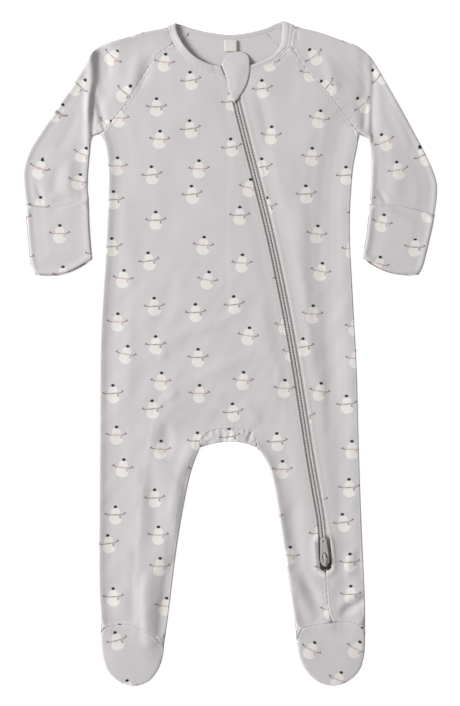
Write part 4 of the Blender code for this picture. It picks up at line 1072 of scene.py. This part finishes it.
# %% The neckband
BAND_THICK = 1.5
BACK_LOW, BACK_THICK = 0.03, 1.2          # at the back it lies on the floor, pressed flatter
BAND_PARTS = 8            # points between two rows of the tables
BAND_STANDS = {"left": 2.2, "right": -1.2}     # how much higher its free edge is than its seam
FACING_AT, FACING_THIN = 5, 0.72          # the ring with the seam of the facing beside the zip is thinner
FOLD_INSIDE, FOLD_THICK, FOLD_MIDDLE = 0.15, 0.95, 1.45       # the fold at the shoulder: its inside radius, its
TURNING = (75, 50, 25, 0, -25, -50, -75)                      # cloth and its height, and its turn in degrees
STAND_POWER = 1.3         # that stand is highest nearer to the shoulder
BAND_ROUND = [(0.0, 0.35), (0.06, 0.8), (0.18, 1.0), (0.4, 1.0), (0.55, 0.98), (0.62, 0.7), (0.69, 0.96),
              (0.8, 0.95), (0.87, 0.68), (0.94, 0.8), (1.0, 0.45)]       # how far to the seam, and how thick there


def smooth_rows(rows):
    """The rows of a table with more between them, on a smooth curve."""
    p = np.array(rows, float)
    p = np.vstack((2 * p[0] - p[1], p, 2 * p[-1] - p[-2]))
    out = []
    for a, b, c, d in zip(p, p[1:], p[2:], p[3:]):
        for k in range(BAND_PARTS):
            t = k / BAND_PARTS
            out.append(0.5 * (2 * b + (c - a) * t + (2 * a - 5 * b + 4 * c - d) * t * t
                              + (3 * b - a - 3 * c + d) * t ** 3))
    return np.array([*out, p[-2]])


def band_section(free, seam, low, thick, back=False):
    """A closed cross-section: the outer side from the free edge to the seam, and the inner side straight back.

    In front the outer side is the round one. At the back the suit lies inside up, so the inner one is.
    """
    over = [free + (seam - free) * t for t, _ in BAND_ROUND]
    rises = [low + thick * rise for _, rise in BAND_ROUND]
    flat = [low] * len(rises)
    outer, inner = (flat, rises) if back else (rises, flat)
    return [(*p, z) for p, z in zip(over, outer)] + [(*p, z) for p, z in zip(over[-2:0:-1], inner[-2:0:-1])]


def fold_section(free, seam, angle, middle):
    """The cross-section while it goes over the shoulder fold: 90 degrees on the front, -90 at the back."""
    across = (seam - free) / np.linalg.norm(seam - free)
    out = np.array((-across[1], across[0]))
    out = out if out[1] > 0 else -out
    c, s = math.cos(math.radians(angle)), math.sin(math.radians(angle))
    ring = []
    for i, (t, rise) in enumerate(BAND_ROUND + BAND_ROUND[-2:0:-1]):
        radius = FOLD_INSIDE + (FOLD_THICK * rise if i < len(BAND_ROUND) else 0)
        ring.append((*(free + (seam - free) * t + out * c * radius), middle + s * radius))
    return ring


def tube(bm, rings):
    """Faces round a run of closed rings, joined point to point so that it never twists, with both ends closed."""
    made = []
    for ring in rings:
        verts = [bm.verts.new(p) for p in ring]
        for pair in zip(verts, verts[1:] + verts[:1]):
            bm.edges.new(pair)
        made.append(verts)
    for low, high in zip(made, made[1:]):
        for k in range(len(low)):
            after = (k + 1) % len(low)
            bm.faces.new((low[k], low[after], high[after], high[k]))
    for end in (made[0], made[-1]):
        bmesh.ops.contextual_create(bm, geom=end)
    bmesh.ops.recalc_face_normals(bm, faces=bm.faces)


def band_stand(side, run):
    """The free edge's extra height along the band, none at its ends."""
    return BAND_STANDS[side] * np.sin(np.pi * run ** STAND_POWER)


def front_rings(side, rows):
    """The band's cross-sections down one side of the front."""
    table = smooth_rows(rows)
    free, seam = table[:, :2], table[:, 2:]
    low = upper_level(seam) - SOLID_WALL
    stands = band_stand(side, np.linspace(0, 1, len(table)))
    rings = []
    for i, (f, s, z, stand) in enumerate(zip(free, seam, low, stands)):
        thick = BAND_THICK * (FACING_THIN if side == "left" and i == FACING_AT else 1)
        ring = band_section(f, s, z, thick)
        long = np.linalg.norm(s - f)
        rings.append([(x, y, h + stand * (1 - math.hypot(x - f[0], y - f[1]) / long)) for x, y, h in ring])
    return rings


def band_level(side, rows, points):
    """The band's upper side at points on it."""
    table = smooth_rows(rows)
    free, seam = Line(table[:, :2]), Line(table[:, 2:])
    from_free, from_seam = free.distance(points), seam.nearest(points)
    share = from_free / (from_free + from_seam[0])
    rises = np.interp(share, [t for t, _ in BAND_ROUND], [rise for _, rise in BAND_ROUND])
    stand = band_stand(side, from_seam[2] / seam.lengths.sum()) * (1 - share)
    return upper_level(from_seam[1]) - SOLID_WALL + BAND_THICK * rises + stand


def shoulder_rings(row, angles):
    """The band's cross-sections round the fold at one shoulder."""
    free, seam = np.array(row[:2], float), np.array(row[2:], float)
    return [fold_section(free, seam, angle, FOLD_MIDDLE) for angle in angles]


back_table = smooth_rows(BAND_BACK)
band_rings = [*front_rings("left", BAND_FRONT_LEFT), *shoulder_rings(BAND_BACK[0], TURNING),
              *[band_section(row[:2], row[2:], BACK_LOW, BACK_THICK, back=True) for row in back_table],
              *shoulder_rings(BAND_BACK[-1], TURNING[::-1]), *front_rings("right", BAND_FRONT_RIGHT)[::-1]]
bm = bmesh.new()
tube(bm, band_rings)
lay_flat(bm, straight_grain(shift=(11, 25)))
neckband = finish_piece("neckband_cloth", bm, plain_jersey, replaces=("neckband",))
middles = [sum((Vector(p) for p in ring), Vector()) / len(ring) for ring in band_rings]

# %% [markdown]
# The chin guard is a small tongue of the same jersey, sewn double, that folds over the top of the zip so that
# the slider can't touch the baby's chin. It is soft and plump, so its edge rolls and its middle is crowned.

# %% The chin guard
GUARD_WALL, GUARD_THIN = 1.0, 0.7         # its wall, and how far it comes down at its rolled edge
GUARD_LIFT = 1.15                         # its upper side over the cloth's
GUARD_CROWN, CROWN_REACH, GUARD_ROLL = 0.7, 11, 2.0
GUARD_UNEVEN = (0.25, 9, 6.6)             # height, size and seed
GUARD_CELL, GUARD_RINGS = 1.6, (1.6, 0.9, 0.35, 0.0)
GUARD_BEHIND, BEHIND_ROLL, GUARD_OVER_BAND = 1.95, 0.3, (268, 277)       # behind the band it lies on the back
GUARD_EDGE, EDGE_FADE = 0.15, 9           # how much its free edge stands off, and from how far in
GUARD_MIDDLE = ((231, 280), (4, 7))       # heights on the suit, and where the guard's middle is there


def guard_level(points):
    """The guard's upper side: rolled at its edge, crowned in the middle, and down behind the neckband."""
    edge = Line(OUTLINES["chin_guard"][0], closed=True).distance(points)
    roll = np.sqrt(np.clip(1 - (1 - np.clip(edge / GUARD_ROLL, 0, 1)) ** 2, 0, 1))
    high, size, seed = GUARD_UNEVEN
    crown = GUARD_CROWN * smooth_step(0, CROWN_REACH, edge) + high * ripple(points, size, seed)
    level = upper_level(points) + GUARD_LIFT - GUARD_THIN + (GUARD_THIN + crown) * roll
    behind = smooth_step(*GUARD_OVER_BAND, points[:, 1])
    level = level * (1 - behind) + (GUARD_BEHIND + BEHIND_ROLL * roll) * behind
    from_middle = points[:, 0] - np.interp(points[:, 1], *GUARD_MIDDLE)
    return level + GUARD_EDGE * smooth_step(0, EDGE_FADE, from_middle) * (1 - roll)


bm = raised_cloth(*OUTLINES["chin_guard"], guard_level, straight_grain(0.3, (2, 5)), GUARD_CELL, GUARD_RINGS)
guard = finish_piece("chin_guard_cloth", bm, plain_jersey, wall=GUARD_WALL, replaces=("chin_guard",))

# %% [markdown]
# The label is a short loop of woven ribbon, sewn into the seam at the back of the neck. It is bare. Ribbon is
# denser than jersey, so its face is smooth and its lower fold stands a little off the cloth.

# %% The label
LABEL_STEPS = (6, 9)
LABEL_THICK, LABEL_OVER = 0.9, 0.2        # two layers, and how far its face is over the solid's
LABEL_WAVE, LABEL_BEND, LABEL_TILT = 0.22, 2.2, 0.35
LABEL_FOLD = 0.3
LABEL_COLOUR, LABEL_THREAD = "#D4D2CE", "#C6C3BE"
RIBBON_THREAD = 0.7       # mm between the ribbon's cross threads, drawn twice as coarse as they are


def woven_finish(name, colour, thread_colour, thread, roughness):
    """Plain weave: threads that cross, which only show close up."""
    finish, shader, tree = new_finish(name, colour, roughness)
    place = add_node(tree, "ShaderNodeTexCoord")
    scaled = add_node(tree, "ShaderNodeVectorMath", {"operation": "SCALE"}, i0=place.outputs["Object"],
                      Scale=1000.0)
    warp, weft = (add_node(tree, "ShaderNodeTexWave", {"bands_direction": way}, Vector=scaled.outputs[0],
                           Scale=math.tau / thread / WAVE_TURN, Distortion=0.4) for way in "XY")
    threads = add_node(tree, "ShaderNodeMath", {"operation": "MULTIPLY"}, i0=warp.outputs["Fac"],
                       i1=weft.outputs["Fac"])
    mixed = add_node(tree, "ShaderNodeMix", {"data_type": "RGBA"}, i0=threads.outputs[0],
                     i6=linear(thread_colour), i7=linear(colour))
    tree.links.new(mixed.outputs[2], shader.inputs["Base Color"])
    bump = add_node(tree, "ShaderNodeBump", Strength=0.4, Distance=0.0001, Height=threads.outputs[0])
    tree.links.new(bump.outputs["Normal"], shader.inputs["Normal"])
    return finish


ribbon_finish = woven_finish("woven_ribbon", LABEL_COLOUR, LABEL_THREAD, RIBBON_THREAD, 0.7)
low, high = (Vector(c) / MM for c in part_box("label"))
bm = bmesh.new()
bmesh.ops.create_grid(bm, x_segments=LABEL_STEPS[0], y_segments=LABEL_STEPS[1], size=0.5)
bmesh.ops.scale(bm, verts=bm.verts, vec=(high.x - low.x, high.y - low.y, 1))
bmesh.ops.translate(bm, verts=bm.verts, vec=((low.x + high.x) / 2, (low.y + high.y) / 2, high.z + LABEL_OVER))
for v in bm.verts:
    down = (high.y - v.co.y) / (high.y - low.y)
    v.co.z += LABEL_WAVE * math.sin(LABEL_BEND * down) + LABEL_TILT * (v.co.x - low.x) / (high.x - low.x) * down
label = finish_piece("woven_label", bm, ribbon_finish, wall=LABEL_THICK, replaces=("label",))
bevel(label, LABEL_FOLD, segments=2)
print(label.name, "is", round(high.x - low.x, 1), "by", round(high.y - low.y, 1), "mm")

# %% [markdown]
# The zip is a coil zip. Two woven tapes lie under the panels' turned edges and show between them. A nylon
# coil is sewn along each tape, and the closed coils look like two rows of small beads. Both follow one
# middle line, so ribbons and beads are placed by their length along it and their distance to its side.

# %% The zip's tapes
ZIP_STEPS = 190
TAPE_FROM, TAPE_EDGE = 0.25, 7.4          # a tape's two edges, from the zip's middle
TAPE_WALL, TAPE_RISE = 0.6, 0.1
TAPE_BELOW = 0.15                         # under the level of the panels' lower side
TAPE_SINK = 2.0                           # deeper beside the slider, which holds the coils up
SINK_ALONG, SINK_ACROSS = (-166, -180), (2.5, 4.5)
TAPE_COLOUR, TAPE_THREAD, THREAD_STEP = "#D0CDCA", "#C4C0BE", 0.9
tape_finish = woven_finish("woven_polyester_tape", TAPE_COLOUR, TAPE_THREAD, THREAD_STEP, 0.85)
zip_points = smooth_run(ZIP_LINE, parts=24)
zip_runs = np.concatenate(([0], np.cumsum(np.linalg.norm(np.diff(zip_points, axis=0), axis=1))))
ZIP_LENGTH = float(zip_runs[-1])


def along_zip(lengths):
    """Points at lengths along the zip's middle line, and the way across it, to the suit's left side."""
    x, y = (np.interp(lengths, zip_runs, values) for values in zip_points.T)
    ahead = np.stack((np.gradient(x), np.gradient(y)), axis=1)
    ahead /= np.linalg.norm(ahead, axis=1)[:, None]
    return np.stack((x, y), axis=1), np.stack((-ahead[:, 1], ahead[:, 0]), axis=1)


def zip_tape(side, near, far):
    """A strip along the zip between two distances from its middle."""
    bm = bmesh.new()
    bmesh.ops.create_grid(bm, x_segments=4, y_segments=ZIP_STEPS, size=0.5)
    verts = list(bm.verts)
    centre, across = along_zip(np.linspace(0, ZIP_LENGTH, ZIP_STEPS + 1))
    row = np.rint([(0.5 - v.co.y) * ZIP_STEPS for v in verts]).astype(int)
    shares = np.array([v.co.x + 0.5 for v in verts])
    offset = near + (far - near) * shares
    place = centre[row] + across[row] * offset[:, None]
    level = upper_level(centre)[row] - SOLID_WALL - TAPE_BELOW + TAPE_RISE * np.sin(np.pi * shares)
    level -= TAPE_SINK * smooth_step(*SINK_ALONG, centre[row, 1]) * smooth_step(*SINK_ACROSS, np.abs(offset))
    for v, (x, y), z in zip(verts, place, level):
        v.co = (x, y, z)
    lay_flat(bm, straight_grain())
    finish_piece(f"woven_tape_{side}", bm, tape_finish, wall=TAPE_WALL,
                 replaces=(f"zip_tape_{side}",))


zip_tape("right", TAPE_FROM, TAPE_EDGE)
zip_tape("left", -TAPE_EDGE, -TAPE_FROM)
print("zip length:", round(ZIP_LENGTH), "mm")

# %% [markdown]
# Each bead of the coil is a turn of nylon wire. There are hundreds, so one bead is a ball with few faces that
# is squeezed, turned the way the zip runs and set down again and again, all in one mesh.

# %% The zip's coils
BEAD_STEP = 1.45          # a number 3 coil has turns about this far apart, drawn slightly coarse
BEAD, BEAD_TURN = (1.4, 0.68, 0.6), 0.22          # half sizes across, along and up, and how far it is turned
BEAD_AT = 1.5             # each row's distance from the middle
COIL_FROM, COIL_SHORT = 1.0, 8.5          # the coils start and stop this far from the zip's ends
COIL_SHIFT, SHIFTED = 0.35, (-172, -150)  # how far the coils have slid to one side, above the slider
COIL_RISE = 0.35
COIL_COLOUR = "#BCB8B5"
coil_finish, _, _ = new_finish("nylon_coil", COIL_COLOUR, 0.45, Specular_IOR_Level=0.4)


def set_down(places, sides, rings, radius):
    """A small ball set down many times in one mesh. Each place also turns it and stretches it."""
    many = bmesh.new()
    for place in places:
        bmesh.ops.create_uvsphere(many, u_segments=sides, v_segments=rings, radius=radius, matrix=place)
    return many


centre, across = along_zip(np.arange(COIL_FROM, ZIP_LENGTH - COIL_SHORT, BEAD_STEP / 2))
levels = upper_level(centre) - SOLID_WALL + COIL_RISE
centre = centre + across * (COIL_SHIFT * smooth_step(*SHIFTED, centre[:, 1]))[:, None]
places = []
for i, ((x, y), (nx, ny), z) in enumerate(zip(centre, across, levels)):
    side = 1 if i % 2 else -1
    turn = Matrix(((nx, -ny, 0, 0), (ny, nx, 0, 0), (0, 0, 1, 0), (0, 0, 0, 1)))
    where = Matrix.Translation((x + nx * side * BEAD_AT, y + ny * side * BEAD_AT, z))
    places.append(where @ turn @ Matrix.Rotation(side * BEAD_TURN, 4, "Z") @ Matrix.Diagonal((*BEAD, 1)))
finish_piece("nylon_coils", set_down(places, 8, 5, 1), coil_finish, replaces=("zip_chain",))
print(len(places), "turns of the coils")

# %% [markdown]
# The slider has two plates with the coils between them, and a bail: the small arch that holds the pull. It is
# cast in zinc. Its body is drawn near black as painted shadow, for the deep shade in the gap round the slider,
# and the upper plate's raised middle and the bail are painted a light grey. The lower plate is out of sight, so
# only the upper one is made, with its sides bent down. The parts are laid out round the pull's hinge, with y up
# the chain, and one matrix puts them in place.

# %% The slider
SLIDER_HALF_OUTLINE = [(0, 6.9), (1.9, 6.8), (3.6, 6.0), (4.6, 3.9), (5.1, 1.4), (4.9, -1.4), (4.2, -3.8),
                       (3.2, -5.8), (2.4, -6.7), (1.0, -6.9), (0.9, -5.7), (0, -5.5)]
CAP_HALF_OUTLINE = [(0, 5.0), (3.0, 4.5), (3.5, 1.5), (3.4, -0.4), (2.6, -2.1), (1.4, -3.3), (0, -3.6)]
CHAIN_TOP, SLIDER_GAP = 4.3, 0.3
PLATE_LOW, PLATE = CHAIN_TOP + SLIDER_GAP, 1.1
PLATE_TOP = PLATE_LOW + PLATE
CAP_SINK, CAP_HIGH = 0.1, 0.2             # the raised middle of the upper plate, from inside it to over it
FLANGE_AT, FLANGE_WIDE, FLANGE_LOW, FLANGE_TOP = 0.97, 1.5, 1.45, 0.2     # the plate's sides that are bent down
SLIDER_BEVEL, CAP_BEVEL = 0.3, 0.12
# the body's near-black colour is painted shadow: the shade in the gap round the slider
ZINC_COLOUR, SLIDER_PAINTED_SHADOW = "#A9A5A2", "#2E2A28"
zinc_finish, _, _ = new_finish("painted_zinc", ZINC_COLOUR, 0.38, Specular_IOR_Level=0.5)
painted_shadow_finish, _, _ = new_finish("zinc_painted_shadow", SLIDER_PAINTED_SHADOW, 0.45, Specular_IOR_Level=0.4)
HINGE = Vector((88.0912, -194.2276, 6.95))            # where the solids have the pull's hinge
UP_CHAIN = Vector((-0.0779, 0.9970, 0)).normalized()
ACROSS = Vector((UP_CHAIN.y, -UP_CHAIN.x, 0))
slider_place = Matrix(((ACROSS.x, UP_CHAIN.x, 0, HINGE.x), (ACROSS.y, UP_CHAIN.y, 0, HINGE.y), (0, 0, 1, 0),
                       (0, 0, 0, 1)))


def mirrored(half):
    """A whole outline from its right half, which starts and ends on the middle line."""
    return half + [(-x, y) for x, y in reversed(half) if x > 0]


def slab(bm, outline, low, high, holes=()):
    """Adds a plate of this outline to a bmesh, with openings."""
    edges = []
    for loop in (outline, *holes):
        verts = [bm.verts.new((x, y, low)) for x, y in loop]
        edges += [bm.edges.new((a, b)) for a, b in zip(verts, verts[1:] + verts[:1])]
    filled = bmesh.ops.triangle_fill(bm, use_beauty=True, use_dissolve=True, edges=edges)["geom"]
    faces = [g for g in filled if isinstance(g, bmesh.types.BMFace)]
    raised = bmesh.ops.extrude_face_region(bm, geom=faces, use_keep_orig=True)["geom"]
    bmesh.ops.translate(bm, verts=[g for g in raised if isinstance(g, bmesh.types.BMVert)],
                        vec=(0, 0, high - low))
    bmesh.ops.recalc_face_normals(bm, faces=bm.faces)


def set_in_place(bm, matrix=slider_place):
    """Moves a bmesh from the slider's or the pull's own frame to its place on the suit."""
    bmesh.ops.transform(bm, matrix=matrix, verts=bm.verts)
    return bm


bm = bmesh.new()
slab(bm, mirrored(SLIDER_HALF_OUTLINE), PLATE_LOW, PLATE_TOP)
flange = [(x * FLANGE_AT, y) for x, y in SLIDER_HALF_OUTLINE[3:7]]
for sign in (1, -1):
    ring = [(sign * x, y) for x, y in flange] + [(sign * (x - FLANGE_WIDE), y) for x, y in reversed(flange)]
    slab(bm, ring, PLATE_LOW - FLANGE_LOW, PLATE_LOW + FLANGE_TOP)
# the body in near black: painted shadow round the slider
slider = finish_piece("slider_body", set_in_place(bm), painted_shadow_finish, replaces=("zip_slider",))
bevel(slider, SLIDER_BEVEL)
bm = bmesh.new()
slab(bm, mirrored(CAP_HALF_OUTLINE), PLATE_TOP - CAP_SINK, PLATE_TOP + CAP_HIGH)
bevel(finish_piece("slider_cap", set_in_place(bm), zinc_finish), CAP_BEVEL)
print("slider at", tuple(round(v, 1) for v in HINGE))

# %% [markdown]
# The bail is a flat wire that stands over the plate as a blunt arch, along the chain. It is a tube: one ring of
# points that is carried over the arch, wider at the top, where the pull's bar turns under it.

# %% The bail
BAIL_HALF_WIDE, BAIL_END_WIDE = 1.25, 0.8             # its half width, and the share of it at the feet
BAIL_MIDDLE, BAIL_REACH, BAIL_THICK, BAIL_HIGH = 3.1, 5.0, 0.45, 3.6
BAIL_SINK, BAIL_BLUNT = 0.3, 0.6                      # its feet are in the plate, and a power that blunts the arch
LEAN_OUT, LEAST_UP = 0.55, 0.15                       # which way the wire's thickness looks along the arch
ARCH_STEPS, ARCH_SIDES = 20, 12

arch = []
for i in range(ARCH_STEPS + 1):
    a = math.pi * i / ARCH_STEPS
    y, z = BAIL_MIDDLE + math.cos(a) * BAIL_REACH, math.sin(a) ** BAIL_BLUNT * BAIL_HIGH + PLATE_TOP - BAIL_SINK
    out = Vector((0, math.cos(a) * LEAN_OUT, max(math.sin(a), LEAST_UP))).normalized()
    half = BAIL_HALF_WIDE * (BAIL_END_WIDE + (1 - BAIL_END_WIDE) * math.sin(a))
    arch.append([(half * math.cos(t), y + out.y * BAIL_THICK * math.sin(t), z + out.z * BAIL_THICK * math.sin(t))
                 for t in (math.tau * k / ARCH_SIDES for k in range(ARCH_SIDES))])
bm = bmesh.new()
tube(bm, arch)
bail = finish_piece("slider_bail", set_in_place(bm), zinc_finish)
print(bail.name, "stands", round(BAIL_HIGH - BAIL_SINK + BAIL_THICK, 2), "mm over the plate")

# %% [markdown]
# The pull is a flat tab with a round tip and a small hole there. It widens to the eye, and the eye's bar sits
# under the bail. It is the one piece that moves: it rides on its own body and turns on the bar.

# %% The pull
PULL_HALF_OUTLINE = [(0, -0.95), (2.6, -0.95), (3.5, -0.55), (4.05, 0.5), (4.1, 2.2), (4.0, 4.8), (3.55, 10.0),
                     (3.05, 17.0), (2.85, 20.6), (2.5, 21.8), (1.75, 22.65), (0.8, 22.95), (0, 23.0)]
WINDOW = [(0, 0.75), (1.55, 0.75), (2.05, 1.3), (2.05, 8.1), (1.7, 8.9), (1.0, 9.3), (0, 9.4)]
HOLE_AT, HOLE_R, HOLE_SIDES = 19.9, 0.9, 16
PULL_THICK, PULL_TILT, PULL_BEVEL = 1.2, 3, 0.28      # at rest it slopes down to its tip by a few degrees

bm = bmesh.new()
hole = [(HOLE_R * math.cos(t), HOLE_AT + HOLE_R * math.sin(t))
        for t in (math.tau * k / HOLE_SIDES for k in range(HOLE_SIDES))]
slab(bm, mirrored(PULL_HALF_OUTLINE), -PULL_THICK / 2, PULL_THICK / 2, (mirrored(WINDOW), hole))
droop = Matrix.Rotation(-math.radians(PULL_TILT), 4, "X")
pull_place = Matrix.Translation((0, 0, HINGE.z)) @ slider_place @ droop
pull = finish_piece("pull_tab", set_in_place(bm, pull_place), zinc_finish, body=PULL,
                    replaces=("zip_pull",))
bevel(pull, PULL_BEVEL)
print(pull.name, "rides on", PULL)

# %% [markdown]
# Two low ribs run down the tab's face and give the fingers a grip. Each is a thin tube, half sunk in the face,
# that comes a little nearer to the other as the tab narrows and is flat at its ends.

# %% The pull's ribs
RIB_SIDE, RIB_FROM, RIB_TO, RIB_R = 1.75, 10.9, 17.4, 0.28
RIB_STEPS, RIB_SIDES, RIB_TAPER, RIB_END = 6, 8, 0.02, 0.3

bm = bmesh.new()
for x in (-RIB_SIDE, RIB_SIDE):
    rings = []
    for k in range(RIB_STEPS + 1):
        along = RIB_FROM + (RIB_TO - RIB_FROM) * k / RIB_STEPS
        flat = 1 if 0 < k < RIB_STEPS else RIB_END
        rings.append([(x * (1.0 - RIB_TAPER * k) + RIB_R * math.cos(t), along,
                       PULL_THICK / 2 + RIB_R * math.sin(t) * flat)
                      for t in (math.tau * j / RIB_SIDES for j in range(RIB_SIDES))])
    tube(bm, rings)
ribs = finish_piece("pull_ribs", set_in_place(bm, pull_place), zinc_finish, body=PULL)
print(ribs.name, "are", round(RIB_TO - RIB_FROM, 1), "mm long")

# %% [markdown]
# Sewing thread lies on the cloth in short stitches. Each is a small stretched ball with few faces. They run in rows
# beside the raglan seams, along the neckband, round the hems and beside the zip, a set way from the seam.

# %% The stitches
STITCH_LONG, STITCH_THICK, STITCH_PITCH = 1.9, 0.42, 2.6
THREAD_COLOUR, THREAD_OVER = "#C2BFBF", 0.06          # a stitch's middle is this far over the cloth
BAND_ROWS = (1.3, 3.7)    # rows on the neckband, in from its seam
ZIP_ROW_MIDDLE, ZIP_ROW_HALF = 30, 232    # the rows beside the zip run over this height of the suit
HEM_IN = 2                # a hem's stitches stop this far from the flap's sides
thread_finish, _, _ = new_finish("sewing_thread", THREAD_COLOUR, 0.6)
stitch_places = []


def longest_run(keep):
    """The places of the longest run of True in a closed ring of values."""
    count = len(keep)
    start = int(np.argmin(keep))
    order = [(start + k) % count for k in range(count)]
    runs, run = [], []
    for i in order:
        if keep[i]:
            run.append(i)
        elif run:
            runs.append(run)
            run = []
    return max(runs + [run], key=len)


def stitch_row(points, offset, level):
    """Stitches along a run of points, moved to its left by an offset, at the heights of level(points)."""
    ahead = np.gradient(points, axis=0)
    ahead /= np.linalg.norm(ahead, axis=1)[:, None]
    moved = points + np.stack((-ahead[:, 1], ahead[:, 0]), axis=1) * offset
    steps = np.concatenate(([0], np.cumsum(np.linalg.norm(np.diff(moved, axis=0), axis=1))))
    at = np.arange(STITCH_PITCH / 2, steps[-1], STITCH_PITCH)
    x, y = np.interp(at, steps, moved[:, 0]), np.interp(at, steps, moved[:, 1])
    heights = level(np.stack((x, y), axis=1))
    turns = np.interp(at, steps, np.unwrap(np.arctan2(ahead[:, 1], ahead[:, 0])))
    for px, py, pz, turn in zip(x, y, heights, turns):
        stitch_places.append(Matrix.Translation((px, py, pz + THREAD_OVER)) @ Matrix.Rotation(turn, 4, "Z")
                             @ Matrix.Diagonal((STITCH_LONG, STITCH_THICK, STITCH_THICK, 1)))


for side in ("left", "right"):
    node = "front_" + side
    outline = OUTLINES[node][0]
    level = panel_level(CUTS[node][0], stitched=True)
    sleeve = Line(OUTLINES["sleeve_" + side][0], closed=True)
    stitch_row(outline[longest_run(sleeve.distance(outline) < SEAM_REACH)], STITCH_AT, level)
    beside = (zip_line.distance(outline) < ZIP_HALF_WIDE) & (np.abs(outline[:, 1] - ZIP_ROW_MIDDLE) < ZIP_ROW_HALF)
    stitch_row(zip_edge(node, outline)[longest_run(beside)], STITCH_AT, level)
for side, rows, sign in (("left", BAND_FRONT_LEFT, -1), ("right", BAND_FRONT_RIGHT, 1)):
    seam = smooth_rows(rows)[:-(BAND_PARTS // 2), 2:]
    for at in BAND_ROWS:
        stitch_row(seam, sign * at, partial(band_level, side, rows))
for outline in flap_outlines.values():
    line = end_line(outline, low=True)
    run = np.vstack((line.a, line.b[-1:]))
    run = run[(run[:, 0] > run[:, 0].min() + HEM_IN) & (run[:, 0] < run[:, 0].max() - HEM_IN)]
    for at, _ in HEMS:
        stitch_row(run, at, flap_level(outline))
finish_piece("sewing_stitches", set_down(stitch_places, 6, 4, 0.5), thread_finish)
print(len(stitch_places), "stitches")
